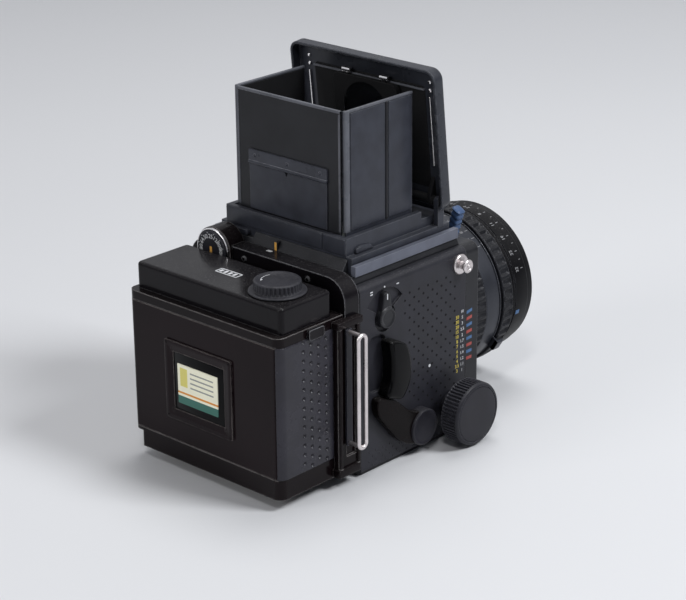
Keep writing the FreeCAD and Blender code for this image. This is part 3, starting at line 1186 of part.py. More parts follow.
def spool(x):
    """Film spool: core and two flanges."""
    z0 = AXIS_Z - SPOOL_LEN / 2
    z1 = AXIS_Z + SPOOL_LEN / 2
    core = rod("z", x, SPOOL_Y, SPOOL_CORE_R, z0, z1)
    flanges = [rod("z", x, SPOOL_Y, SPOOL_FLANGE_R, a, a + 1.2) for a in (z0, z1 - 1.2)]
    return core.fuse(flanges).cut(rod("z", x, SPOOL_Y, SPOOL_AXLE_R + RUN_FIT, z0 - 1, z1 + 1))


def wind_shaft():
    """Shaft from the wind knob to the take-up spool, with the winding gear."""
    z1 = AXIS_Z + SPOOL_LEN / 2
    shaft = rod("z", -SPOOL_X, SPOOL_Y, SPOOL_AXLE_R, z1 - WIND_SHAFT_IN, HOUSING_TOP + FLAT_GAP)
    outline = gear_outline(WIND_TEETH, FILM_GEAR_MODULE, -SPOOL_X, SPOOL_Y, 0.0)
    return shaft.fuse(prism("z", outline, BACK_TOP + 2.4, BACK_TOP + 5.4))


def counter_wheel():
    """Frame counter wheel, turned by the winding gear."""
    x = counter_x()
    phase = math.pi + math.pi / COUNTER_TEETH
    outline = gear_outline(COUNTER_TEETH, FILM_GEAR_MODULE, x, SPOOL_Y, phase)
    wheel = prism("z", outline, BACK_TOP + 2.6, BACK_TOP + 5.2)
    dial = rod("z", x, SPOOL_Y, 10.0, BACK_TOP + 5.2, BACK_TOP + 6.4)
    return wheel.fuse(dial).cut(rod("z", x, SPOOL_Y, 1.5 + RUN_FIT, BACK_TOP, BACK_TOP + 8))


def wind_knob():
    """Fluted wind knob on a flange."""
    z0 = HOUSING_TOP + FLAT_GAP
    z1 = z0 + WIND_FLANGE_T
    knob = rod("z", -SPOOL_X, SPOOL_Y, WIND_KNOB_R, z1, WIND_KNOB_TOP)
    rim = [e for e in knob.Edges if e.BoundBox.ZMin > WIND_KNOB_TOP - 0.01]
    knob = knob.makeFillet(0.6, rim)
    count = 36
    flutes = []
    for i in range(count):
        a = 2 * math.pi * i / count
        flutes.append(rod("z", -SPOOL_X + WIND_KNOB_R * math.cos(a), SPOOL_Y + WIND_KNOB_R * math.sin(a),
                          0.45, z1 - 0.01, WIND_KNOB_TOP - 1))
    return knob.cut(flutes).fuse(rod("z", -SPOOL_X, SPOOL_Y, WIND_FLANGE_R, z0, z1))


# Controls

def mode_lever():
    """Mode lever: hub, pointer and axle."""
    x0, x1 = -MODE_FACE, -BODY_HALF + MODE_RECESS - FLAT_GAP
    hub = rod("x", MODE_Y, MODE_Z, MODE_HUB_R, x0, x1)
    pointer = prism("x", [(MODE_Y - 4.4, MODE_Z), (MODE_Y + 4.4, MODE_Z),
                          (MODE_Y + 1.8, MODE_Z + MODE_POINTER), (MODE_Y - 1.8, MODE_Z + MODE_POINTER)],
                    x0 + 1.0, x1)
    axle = rod("x", MODE_Y, MODE_Z, SHAFT_R / 2, x1, -SHELL_HALF + SHELL_WALL)
    return hub.fuse([pointer, axle])


def cocking_lever():
    """Cocking lever: hub on its axle, arm, and the curved grip."""
    x1 = -BODY_HALF - FLAT_GAP
    hub = rod("x", COCK_Y, COCK_Z, COCK_HUB_R, -COCK_HUB_FACE, x1)
    arm = prism("x", [(COCK_Y + y, COCK_Z + z) for y, z in COCK_ARM], -COCK_ARM_FACE, x1)
    axle = rod("x", COCK_Y, COCK_Z, SHAFT_R, x1, -SHELL_HALF + SHELL_WALL)

    a, b, c, d, e, f = [V(-COCK_GRIP_FACE, COCK_Y + y, COCK_Z + z) for y, z in COCK_GRIP]
    grip = Part.Wire([Part.makeLine(a, b), Part.Arc(b, c, d).toShape(),
                      Part.makeLine(d, e), Part.Arc(e, f, a).toShape()])
    grip = Part.Face(grip).extrude(V(COCK_GRIP_FACE + x1, 0, 0))
    arm = arm.cut(grip)
    return [hub.fuse([arm, axle]), grip]


def shutter_dial():
    """Shutter speed dial on the left side."""
    x0 = BODY_HALF + FLAT_GAP
    x1 = x0 + SHUTTER_DIAL_T
    dial = rod("x", SHUTTER_DIAL_Y, SHUTTER_DIAL_Z, SHUTTER_DIAL_R, x0, x1)
    grip = rod("x", SHUTTER_DIAL_Y, SHUTTER_DIAL_Z, SHUTTER_GRIP_R, x1, x1 + SHUTTER_GRIP_T)
    axle = rod("x", SHUTTER_DIAL_Y, SHUTTER_DIAL_Z, SHAFT_R, SHELL_HALF - SHELL_WALL, x0)
    return dial.fuse([grip, axle])


PARTS = {
    "body_shell": body_shell,
    "base_plate": base_plate,
    "base_screws": base_screws,
    "right_side_cover": right_side_cover,
    "left_side_cover": left_side_cover,
    "top_plate": top_plate,
    "finder_rails": finder_rails,
    "strap_lugs": strap_lugs,
    "accessory_shoe": accessory_shoe,
    "mirror_box": mirror_box,
    "bellows": bellows,
    "screen_frame": screen_frame,
    "focusing_screen": focusing_screen,
    "mirror_frame": mirror_frame,
    "mirror_glass": mirror_glass,
    "front_standard": front_standard,
    "distance_scale_plate": distance_scale_plate,
    "pinion_shaft": pinion_shaft,
    "focusing_knob_right": lambda: focusing_knob(-1),
    "focusing_knob_left": lambda: focusing_knob(1),
    "focus_lock_lever": focus_lock_lever,
    "lens_rear_barrel": lens_rear_barrel,
    "lens_front_barrel": lens_front_barrel,
    "lens_elements": lens_elements,
    "lens_shutter": lens_shutter,
    "bayonet_ring": bayonet_ring,
    "aperture_ring": aperture_ring,
    "preview_ring": preview_ring,
    "preview_tab": preview_tab,
    "release_button": release_button,
    "release_lock_ring": release_lock_ring,
    "finder_base": finder_base,
    "finder_release_tab": finder_release_tab,
    "right_leaf": lambda: side_leaf(-1, RIGHT_LEAF_Z),
    "left_leaf": lambda: side_leaf(1, LEFT_LEAF_Z),
    "rear_leaf": rear_leaf,
    "rear_leaf_clip": rear_leaf_clip,
    "finder_lid": finder_lid,
    "magnifier_frame": magnifier_frame,
    "magnifier_lens": magnifier_lens,
    "revolving_adapter": revolving_adapter,
    "back_shell": back_shell,
    "top_housing": top_housing,
    "film_gate": film_gate,
    "pressure_plate": pressure_plate,
    "slide_guide": slide_guide,
    "dark_slide": dark_slide,
    "dark_slide_handle": dark_slide_handle,
    "rear_door": rear_door,
    "door_catch": door_catch,
    "memo_holder": memo_holder,
    "film_card": film_card,
    "wind_knob": wind_knob,
    "wind_shaft": wind_shaft,
    "takeup_spool": lambda: spool(-SPOOL_X),
    "supply_spool": lambda: spool(SPOOL_X),
    "counter_wheel": counter_wheel,
    "film_speed_dial": film_speed_dial,
    "mode_lever": mode_lever,
    "cocking_lever": cocking_lever,
    "shutter_dial": shutter_dial,
}


def main():
    """Write one STEP file for each sub-part."""
    os.makedirs("parts", exist_ok=True)
    for node, make in PARTS.items():
        made = make()
        solids = [s for m in (made if isinstance(made, list) else [made]) for s in m.Solids]
        shape = solids[0] if len(solids) == 1 else Part.makeCompound(solids)
        if not shape.isValid():
            print("not valid", node)
        print(node, len(solids), round(shape.Volume / 1000, 2), "cm3")
        shape.exportStep("parts/" + node + ".step")


main()
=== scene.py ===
"""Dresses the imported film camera: fine pieces, finishes, soft light, floor and camera."""
import logging
import math
from collections.abc import Callable, Iterable, Sequence
from dataclasses import dataclass, field
from enum import Enum

import bmesh
import bpy
import numpy as np
from mathutils import Matrix


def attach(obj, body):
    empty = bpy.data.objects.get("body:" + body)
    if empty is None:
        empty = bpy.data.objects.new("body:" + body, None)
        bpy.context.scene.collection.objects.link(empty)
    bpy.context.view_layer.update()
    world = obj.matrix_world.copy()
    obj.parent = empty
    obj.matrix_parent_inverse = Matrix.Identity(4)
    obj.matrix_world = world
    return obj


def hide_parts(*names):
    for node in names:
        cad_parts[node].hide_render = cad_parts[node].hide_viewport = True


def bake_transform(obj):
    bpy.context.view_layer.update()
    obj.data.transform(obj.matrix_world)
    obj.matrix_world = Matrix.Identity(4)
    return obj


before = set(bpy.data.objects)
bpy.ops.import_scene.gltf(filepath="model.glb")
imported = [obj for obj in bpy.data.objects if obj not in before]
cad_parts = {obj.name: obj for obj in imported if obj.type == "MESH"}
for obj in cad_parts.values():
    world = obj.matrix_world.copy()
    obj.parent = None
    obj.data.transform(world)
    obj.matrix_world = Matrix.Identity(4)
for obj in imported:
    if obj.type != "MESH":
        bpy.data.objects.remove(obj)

Array = np.ndarray
Colour = tuple[float, float, float]
MM = 0.001
FULL_TURN = 2 * math.pi
AXIS_R = 0.02
KNOB_Y, KNOB_Z = -25.3, 18.1
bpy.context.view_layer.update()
LOG = logging.getLogger("camera")


# Shapes

class Axis(Enum):
    """The axis that an outline is carried along; the value orders w, u, v into X, Y, Z."""

    X = ("w", "u", "v")
    Y = ("u", "w", "v")
    Z = ("u", "v", "w")


def place(axis: Axis, u: Array, v: Array, w: Array) -> Array:
    """Points of an axis frame in space: w runs along the axis, u and v are the other two.

    Args:
        axis: the carrying axis.
        u: first cross coordinate, mm.
        v: second cross coordinate, mm.
        w: coordinate along the axis, mm.

    Returns:
        Points with X, Y, Z in the last place.
    """
    parts = dict(zip("uvw", np.broadcast_arrays(u, v, w)))
    return np.stack([parts[k] for k in axis.value], axis=-1).astype(float)


@dataclass
class Shell:
    """Vertices and faces of one piece, gathered part by part, in millimetres."""

    verts: list[Array] = field(default_factory=list)
    faces: list[list[int]] = field(default_factory=list)
    count: int = 0

    def add(self, points: Array, faces: Iterable[Sequence[int]]) -> "Shell":
        """Add points, and faces that count from the first of them.

        Args:
            points: (n, 3) points in mm.
            faces: rows of point numbers.

        Returns:
            This shell.
        """
        base = self.count
        self.verts.append(np.asarray(points, float).reshape(-1, 3))
        self.faces += [[int(i) + base for i in row] for row in faces]
        self.count += len(self.verts[-1])
        return self

    def rings(self, points: Array, closed: bool = False) -> "Shell":
        """Join rings of points by quads: ring i, point j goes to ring i+1 and point j+1.

        Args:
            points: (rings, around, 3) grid; the around direction always closes.
            closed: whether the last ring joins the first; otherwise both ends get a flat cap.

        Returns:
            This shell.
        """
        n, m = points.shape[:2]
        i = np.arange(n if closed else n - 1)[:, None]
        j = np.arange(m)[None, :]
        a, b = i * m + j, i * m + (j + 1) % m
        c, d = (i + 1) % n * m + (j + 1) % m, (i + 1) % n * m + j
        faces = np.stack([a, b, c, d], -1).reshape(-1, 4).tolist()
        if not closed:
            faces += [list(range(m))[::-1], list(range((n - 1) * m, n * m))]
        return self.add(points, faces)

    def moved(self, change: Callable[[Array], Array]) -> "Shell":
        """Put every point through a change of place; returns this shell."""
        self.verts = [change(v) for v in self.verts]
        return self

    def join(self, other: "Shell") -> "Shell":
        """Take in another shell's points and faces; returns this shell."""
        return self.add(np.concatenate(other.verts), other.faces)


def rounded_rect(u0: float, u1: float, v0: float, v1: float, r: float, steps: int = 6) -> Array:
    """Outline of a rectangle with round corners: each corner is a quarter circle of radius r.

    Args:
        u0: low side.
        u1: high side.
        v0: low side of the other coordinate.
        v1: high side of the other coordinate.
        r: corner radius.
        steps: spans in each quarter.

    Returns:
        (n, 2) points, counterclockwise.
    """
    a = np.arange(4)[:, None] * math.pi / 2 + np.linspace(0, math.pi / 2, steps + 1)[None, :]
    cu = np.array([u1 - r, u0 + r, u0 + r, u1 - r])[:, None]
    cv = np.array([v1 - r, v1 - r, v0 + r, v0 + r])[:, None]
    return np.stack([cu + r * np.cos(a), cv + r * np.sin(a)], -1).reshape(-1, 2)


def rounded_polygon(corners: Sequence[tuple[float, float]], r: float, steps: int = 5) -> Array:
    """Outline of a polygon whose corners are parabolas (1-t)^2 a + 2t(1-t) c + t^2 b.

    Args:
        corners: the polygon's corners in order.
        r: how far from each corner its curve starts, at most 0.45 of the side.
        steps: spans in each corner.

    Returns:
        (n, 2) points.
    """
    c = np.array(corners, float)
    before, after = np.roll(c, 1, 0) - c, np.roll(c, -1, 0) - c
    lb, la = np.linalg.norm(before, axis=1), np.linalg.norm(after, axis=1)
    a = c + before * (np.minimum(r, 0.45 * lb) / lb)[:, None]
    b = c + after * (np.minimum(r, 0.45 * la) / la)[:, None]
    t = np.linspace(0, 1, steps + 1)[None, :, None]
    curve = (1 - t) ** 2 * a[:, None] + 2 * t * (1 - t) * c[:, None] + t ** 2 * b[:, None]
    return curve.reshape(-1, 2)


def carried(axis: Axis, outline: Array, profile: Array, low: Array | None = None) -> Array:
    """An outline drawn in along its normals and moved along an axis, one ring for each step.

    Args:
        axis: the carrying axis.
        outline: (m, 2) closed outline.
        profile: (n, 2) rows of how far in, and where along the axis.
        low: least place along the axis at each outline point, or None.

    Returns:
        (n, m, 3) points: outline + inset * inward normal.
    """
    ahead, behind = np.roll(outline, -1, 0), np.roll(outline, 1, 0)
    run = ahead - behind
    run /= np.maximum(np.linalg.norm(run, axis=1), 1e-9)[:, None]
    area = np.sum(outline[:, 0] * ahead[:, 1] - ahead[:, 0] * outline[:, 1])
    inward = np.stack([-run[:, 1], run[:, 0]], -1) * np.sign(area)
    rows = outline[None] + np.asarray(profile)[:, 0, None, None] * inward[None]
    w = np.broadcast_to(np.asarray(profile)[:, 1, None], rows.shape[:2])
    if low is not None:
        w = np.maximum(w, low[None])
    return place(axis, rows[..., 0], rows[..., 1], w)


def edge_profile(w0: float, w1: float, e0: float, e1: float, steps: int = 4) -> Array:
    """Profile of a slab with quarter round edges: inset e - e sin t, height e - e cos t.

    Args:
        w0: lower face.
        w1: upper face.
        e0: edge radius at the lower face.
        e1: edge radius at the upper face.
        steps: spans in each quarter.

    Returns:
        (n, 2) rows of inset and place along the axis.
    """
    t = np.linspace(0, math.pi / 2, steps + 1)
    s = 1.0 if w1 > w0 else -1.0
    low = np.stack([e0 - e0 * np.sin(t), w0 + s * (e0 - e0 * np.cos(t))], -1)
    high = np.stack([e1 - e1 * np.sin(t), w1 - s * (e1 - e1 * np.cos(t))], -1)[::-1]
    return np.concatenate([low, high])


def slab(axis: Axis, outline: Array, w0: float, w1: float, edge: float, back: float = 0.0) -> Array:
    """Rings of a flat piece between w0 and w1 with a rounded edge at w1, and one at w0."""
    return carried(axis, outline, edge_profile(w0, w1, back, edge))


@dataclass(frozen=True)
class Ribs:
    """Straight ribs round a turned piece: radius less depth * rib(angle) * window(place)."""

    count: int
    depth: float
    w0: float
    w1: float
    above: float
    sharp: float = 1.6
    ramp: float = 0.5

    def cut(self, angle: Array, r: Array, w: Array) -> Array:
        """How much the ribs take off the radius.

        Args:
            angle: angles round the axis.
            r: radii of the plain shape.
            w: places along the axis.

        Returns:
            Depth of the groove at each point.
        """
        wave = np.clip(0.5 + self.sharp * np.cos(self.count * angle) * 0.5, 0, 1)
        low, high = min(self.w0, self.w1), max(self.w0, self.w1)
        window = np.clip(np.minimum(w - low, high - w) / self.ramp, 0, 1)
        return self.depth * wave * window * (r > self.above)


def turned(axis: Axis, cu: float, cv: float, profile: Sequence[tuple[float, float]], around: int = 96,
           ribs: Ribs | None = None) -> Array:
    """A profile of (radius, place) rows turned about an axis through (cu, cv).

    Args:
        axis: the turning axis.
        cu: first coordinate of the centre.
        cv: second coordinate of the centre.
        profile: rows of radius and place along the axis.
        around: points round the axis.
        ribs: ribs to cut in the rim, or None.

    Returns:
        (n, around, 3) points: centre + radius * (cos, sin).
    """
    p = np.asarray(profile, float)
    a = np.arange(around) * FULL_TURN / around
    r = np.broadcast_to(p[:, 0, None], (len(p), around)).copy()
    w = np.broadcast_to(p[:, 1, None], r.shape)
    if ribs is not None:
        r -= ribs.cut(a[None], r, w)
    return place(axis, cu + r * np.cos(a), cv + r * np.sin(a), w)


def smooth_steps(rows: Sequence[tuple[float, float]], spans: int = 4) -> list[tuple[float, float]]:
    """A profile whose long spans are filled in evenly: row + (next row - row) * k / spans.

    Args:
        rows: rows of radius and place.
        spans: parts that each span is cut into.

    Returns:
        The longer list of rows.
    """
    p = np.asarray(rows, float)
    t = np.arange(spans)[None, :, None] / spans
    filled = (p[:-1, None] + (p[1:] - p[:-1])[:, None] * t).reshape(-1, 2)
    return [tuple(r) for r in np.concatenate([filled, p[-1:]])]


def staggered(u: float, du: float, nu: int, v: float, dv: float, nv: int) -> tuple[Array, Array]:
    """Two lattices of places, the second half a step down from the first both ways.

    Args:
        u: first place.
        du: step down from it.
        nu: places in a row.
        v: first place of the other coordinate.
        dv: step down from it.
        nv: places in a column.

    Returns:
        The u and the v of every place.
    """
    i, j = np.meshgrid(np.arange(nu), np.arange(nv), indexing="ij")
    a, b = u - du * i.ravel(), v - dv * j.ravel()
    return np.concatenate([a, a - du / 2]), np.concatenate([b, b - dv / 2])


def dimpled(path: Array, out: Array, z: Array, proud: float, pits: Array, radius: float,
            depth: float) -> Array:
    """A sheet on an upright wall: wall + out * (proud - depth * (1 - (gap / radius)^2)).

    Near its edges the sheet falls into the wall by a quarter round; its back lies inside the wall.

    Args:
        path: (n, 2) places along the wall in x and y.
        out: (n, 2) outward directions there.
        z: (m,) heights.
        proud: how far the sheet stands out.
        pits: (k, 2) middles of the hollows: length along the path, and height.
        radius: radius of a hollow.
        depth: depth of a hollow.

    Returns:
        (n, m + 2, 3) rings, to be joined along the path.
    """
    sunk, back, fall = 0.1, 0.3, 0.6
    s = np.concatenate([[0], np.cumsum(np.linalg.norm(np.diff(path, axis=0), axis=1))])
    gap = np.full((len(s), len(z)), np.inf)
    for middle in pits:
        gap = np.minimum(gap, np.hypot(s[:, None] - middle[0], z[None] - middle[1]))
    rise = proud + sunk - depth * np.clip(1 - (gap / radius) ** 2, 0, 1)
    edge = np.minimum(np.minimum(s, s[-1] - s)[:, None], np.minimum(z - z[0], z[-1] - z)[None])
    rise = rise * np.sqrt(1 - (1 - np.clip(edge / fall, 0, 1)) ** 2) - sunk
    rise = np.concatenate([rise, np.full((len(s), 2), -back)], 1)
    xy = path[:, None] + rise[..., None] * out[:, None]
    heights = np.broadcast_to(np.concatenate([z, z[-1:], z[:1]]), rise.shape)
    return np.concatenate([xy, heights[..., None]], -1)


def swung(u: Array, v: Array, degrees: float) -> tuple[Array, Array]:
    """Two coordinates turned by an angle: (u cos - v sin, u sin + v cos)."""
    c, s = math.cos(math.radians(degrees)), math.sin(math.radians(degrees))
    return u * c - v * s, u * s + v * c


def unit(v: Array) -> Array:
    """A direction at length 1."""
    return v / np.linalg.norm(v)


def turn_x(points: Array, y: float, z: float, degrees: float) -> Array:
    """Points turned about the line along X through (y, z)."""
    dy, dz = swung(points[:, 1] - y, points[:, 2] - z, degrees)
    return np.stack([points[:, 0], y + dy, z + dz], -1)


def about_lens(points: Array, degrees: float, axis_z: float) -> Array:
    """Points turned about the lens axis from the top towards -X."""
    x, z = swung(points[:, 0], points[:, 2], degrees)
    return np.stack([x, points[:, 1], axis_z + z], -1)


def mirror_x(points: Array) -> Array:
    """Points mirrored across the plane x = 0."""
    return points * np.array([-1.0, 1.0, 1.0])


def both(rings: Array) -> Shell:
    """A shell with the rings and their mirror image across x = 0."""
    return Shell().rings(rings).rings(mirror_x(rings))


def lettering(text: str, height: float, thick: float = 0.06) -> tuple[Array, list[list[int]]]:
    """Plain figures as a thin closed mesh, centred on the origin of u and v.

    Args:
        text: the figures.
        height: their height in mm.
        thick: their thickness in mm.

    Returns:
        (n, 3) points u, v, w in mm with w from 0 to thick, and the faces.
    """
    em, bolder, curve_steps = 1.4, 0.018, 2
    curve = bpy.data.curves.new("figures", "FONT")
    curve.body, curve.size, curve.resolution_u = text, height * em, curve_steps
    curve.extrude, curve.offset = thick / 2, height * bolder
    holder = bpy.data.objects.new("figures", curve)
    bpy.context.scene.collection.objects.link(holder)
    bpy.context.view_layer.update()
    solid = holder.evaluated_get(bpy.context.evaluated_depsgraph_get())
    mesh = bpy.data.meshes.new_from_object(solid)
    co = np.zeros(len(mesh.vertices) * 3)
    mesh.vertices.foreach_get("co", co)
    faces = [list(p.vertices) for p in mesh.polygons]
    bpy.data.objects.remove(holder)
    bpy.data.curves.remove(curve)
    bpy.data.meshes.remove(mesh)
    co = co.reshape(-1, 3)
    middle = (co.min(0) + co.max(0)) / 2
    return co - middle + np.array([0, 0, thick / 2]), faces


def on_plane(origin: Sequence[float], right: Sequence[float], up: Sequence[float],
             points: Array, turn: float = 0.0) -> Array:
    """Flat points (u, v, w) laid on a plane: origin + u right + v up + w (right x up).

    Args:
        origin: place of u = v = 0.
        right: unit direction of u.
        up: unit direction of v.
        points: (n, 3) points.
        turn: degrees that u and v are first turned by.

    Returns:
        (n, 3) points in space.
    """
    u, v = swung(points[:, 0], points[:, 1], turn)
    r, q = np.array(right, float), np.array(up, float)
    return np.array(origin, float) + u[:, None] * r + v[:, None] * q + points[:, 2:] * np.cross(r, q)


# Finishes

class Wiring:
    """Short ways to add and join shader nodes in one tree."""

    def __init__(self, tree: bpy.types.NodeTree) -> None:
        """Start wiring in a tree."""
        self.tree = tree

    def node(self, kind: str, inputs: dict | None = None, **settings: object) -> bpy.types.Node:
        """Add a node.

        Args:
            kind: type name of the node.
            inputs: values or sockets for its inputs, by name or number.
            settings: properties of the node.

        Returns:
            The node.
        """
        made = self.tree.nodes.new(kind)
        for name, value in settings.items():
            setattr(made, name, value)
        for name, value in (inputs or {}).items():
            if isinstance(value, bpy.types.NodeSocket):
                self.tree.links.new(value, made.inputs[name])
            else:
                made.inputs[name].default_value = value
        return made

    def sum(self, kind: str, a: object, b: object = 0.0, clamp: bool = False) -> bpy.types.NodeSocket:
        """The outcome of a Math node of that kind on a and b."""
        return self.node("ShaderNodeMath", {0: a, 1: b}, operation=kind, use_clamp=clamp).outputs[0]

    def blend(self, mask: object, a: object, b: object) -> bpy.types.NodeSocket:
        """Colour a where the mask is 0 and b where it is 1."""
        a, b = (c if isinstance(c, bpy.types.NodeSocket) else (*c, 1.0) for c in (a, b))
        return self.node("ShaderNodeMix", {0: mask, 6: a, 7: b}, data_type="RGBA").outputs[2]

    def ramp(self, value: object, low: float, high: float) -> bpy.types.NodeSocket:
        """Value mapped so that low becomes 0 and high becomes 1, held between them."""
        node = self.node("ShaderNodeMapRange", {0: value, 1: low, 2: high, 3: 0.0, 4: 1.0})
        return node.outputs[0]

    def noise(self, vector: object, scale: object, detail: float) -> bpy.types.NodeSocket:
        """A noise over a vector, from 0 to 1."""
        node = self.node("ShaderNodeTexNoise", {"Vector": vector, "Scale": scale, "Detail": detail})
        return node.outputs[0]

    def close(self, kind: str, inputs: dict, end: str = "ShaderNodeOutputMaterial") -> None:
        """Add the last shader, with its inputs, and join it to the tree's output."""
        self.node(end, {0: self.node(kind, inputs).outputs[0]})


class Effects:
    """Node groups shared by the finishes; each is made once."""

    made: dict[str, bpy.types.NodeTree] = {}

    @classmethod
    def group(cls, name: str, inputs: dict[str, float | None], outputs: dict[str, str],
              fill: Callable[[Wiring, bpy.types.Node], dict]) -> bpy.types.NodeTree:
        """A node group, made the first time it is asked for.

        Args:
            name: its name.
            inputs: its inputs with their defaults; None stands for a vector.
            outputs: its outputs with their socket kinds.
            fill: adds the nodes and returns the sockets of the outputs.

        Returns:
            The group's tree.
        """
        if name in cls.made:
            return cls.made[name]
        tree = bpy.data.node_groups.new(name, "ShaderNodeTree")
        for label, value in inputs.items():
            kind = "NodeSocketVector" if value is None else "NodeSocketFloat"
            socket = tree.interface.new_socket(label, in_out="INPUT", socket_type=kind)
            if value is not None:
                socket.default_value = value
        for label, kind in outputs.items():
            tree.interface.new_socket(label, in_out="OUTPUT", socket_type=kind)
        wiring = Wiring(tree)
        source = wiring.node("NodeGroupInput")
        sink = wiring.node("NodeGroupOutput")
        for label, socket in fill(wiring, source).items():
            tree.links.new(socket, sink.inputs[label])
        cls.made[name] = tree
        return tree

    @classmethod
    def soft_edge(cls) -> bpy.types.NodeTree:
        """Rounded looking edges with a height on top, and a mask of where the edges are.

        Returns:
            The group's tree.
        """
        def fill(w: Wiring, g: bpy.types.Node) -> dict:
            """Bevel normal, a bump on it, and 1 - dot(bevel normal, normal) as the mask.

            Args:
                w: wiring of the group's tree.
                g: the group's input node.

            Returns:
                The sockets of the outputs by name.
            """
            bevel = w.node("ShaderNodeBevel", {"Radius": g.outputs["Radius"]}, samples=4)
            geometry = w.node("ShaderNodeNewGeometry")
            dot = w.node("ShaderNodeVectorMath", {0: bevel.outputs[0], 1: geometry.outputs["Normal"]},
                         operation="DOT_PRODUCT")
            bump = w.node("ShaderNodeBump", {"Strength": 1.0, "Distance": g.outputs["Depth"],
                                             "Height": g.outputs["Height"], "Normal": bevel.outputs[0]})
            off = w.sum("SUBTRACT", 1.0, dot.outputs["Value"])
            return {"Normal": bump.outputs[0], "Edge": w.ramp(off, 0.01, 0.16)}
        return cls.group("Soft edge", {"Radius": 0.0003, "Depth": 0.0, "Height": 0.0},
                         {"Normal": "NodeSocketVector", "Edge": "NodeSocketFloat"}, fill)

    @classmethod
    def grain(cls) -> bpy.types.NodeTree:
        """Fine lacquer grain as a height, and slow patches as a mask.

        Returns:
            The group's tree.
        """
        def fill(w: Wiring, g: bpy.types.Node) -> dict:
            """Two noises of one vector, the second at a fortieth of the scale.

            Args:
                w: wiring of the group's tree.
                g: the group's input node.

            Returns:
                The sockets of the outputs by name.
            """
            vector, scale = g.outputs["Vector"], g.outputs["Scale"]
            slow = w.noise(vector, w.sum("MULTIPLY", scale, 1 / 40), 3.0)
            return {"Height": w.noise(vector, scale, 2.0), "Patch": w.ramp(slow, 0.35, 0.65)}
        return cls.group("Lacquer grain", {"Vector": None, "Scale": 3000.0},
                         {"Height": "NodeSocketFloat", "Patch": "NodeSocketFloat"}, fill)

    @classmethod
    def wear_and_highlight(cls) -> bpy.types.NodeTree:
        """Where the coat is rubbed off the edges, broken up by a noise; in a light colour the same mask
        paints highlights along the edges.

        Returns:
            The group's tree.
        """
        def fill(w: Wiring, g: bpy.types.Node) -> dict:
            """Edge mask times noise, from a threshold up, times the amount.

            Args:
                w: wiring of the group's tree.
                g: the group's input node.

            Returns:
                The sockets of the outputs by name.
            """
            rub = w.sum("MULTIPLY", g.outputs["Edge"], w.noise(g.outputs["Vector"], 260.0, 4.0))
            return {"Mask": w.sum("MULTIPLY", w.ramp(rub, 0.2, 0.46), g.outputs["Amount"], True)}
        return cls.group("Edge wear", {"Vector": None, "Edge": 0.0, "Amount": 0.3},
                         {"Mask": "NodeSocketFloat"}, fill)

    @classmethod
    def dust(cls) -> bpy.types.NodeTree:
        """Specks of dust on faces that look up.

        Returns:
            The group's tree.
        """
        def fill(w: Wiring, g: bpy.types.Node) -> dict:
            """Upward part of the normal times the sum of thresholded specks and a thin film.

            Args:
                w: wiring of the group's tree.
                g: the group's input node.

            Returns:
                The sockets of the outputs by name.
            """
            normal = w.node("ShaderNodeNewGeometry").outputs["Normal"]
            up = w.ramp(w.node("ShaderNodeSeparateXYZ", {0: normal}).outputs[2], 0.3, 0.9)
            specks = w.ramp(w.noise(g.outputs["Vector"], 1500.0, 1.0), 0.6, 0.72)
            film = w.sum("MULTIPLY", w.noise(g.outputs["Vector"], 45.0, 4.0), 0.25)
            lying = w.sum("ADD", w.sum("MULTIPLY", specks, 0.8), film)
            return {"Mask": w.sum("MULTIPLY", w.sum("MULTIPLY", lying, up), g.outputs["Amount"], True)}
        return cls.group("Dust", {"Vector": None, "Amount": 0.2}, {"Mask": "NodeSocketFloat"}, fill)


@dataclass(frozen=True)
class Coating:
    """A named surface; its material is made the first time that it is asked for."""

    name: str

    def material(self) -> bpy.types.Material:
        """The surface as a material.

        Returns:
            The material, with the nodes that wire adds.
        """
        made = bpy.data.materials.get(self.name)
        if made is None:
            made = bpy.data.materials.new(self.name)
            made.use_nodes = True
            made.node_tree.nodes.clear()
            self.wire(Wiring(made.node_tree))
        return made

    def wire(self, w: Wiring) -> None:
        """Add the nodes of the material to its tree; each kind of coating has its own."""
        raise NotImplementedError


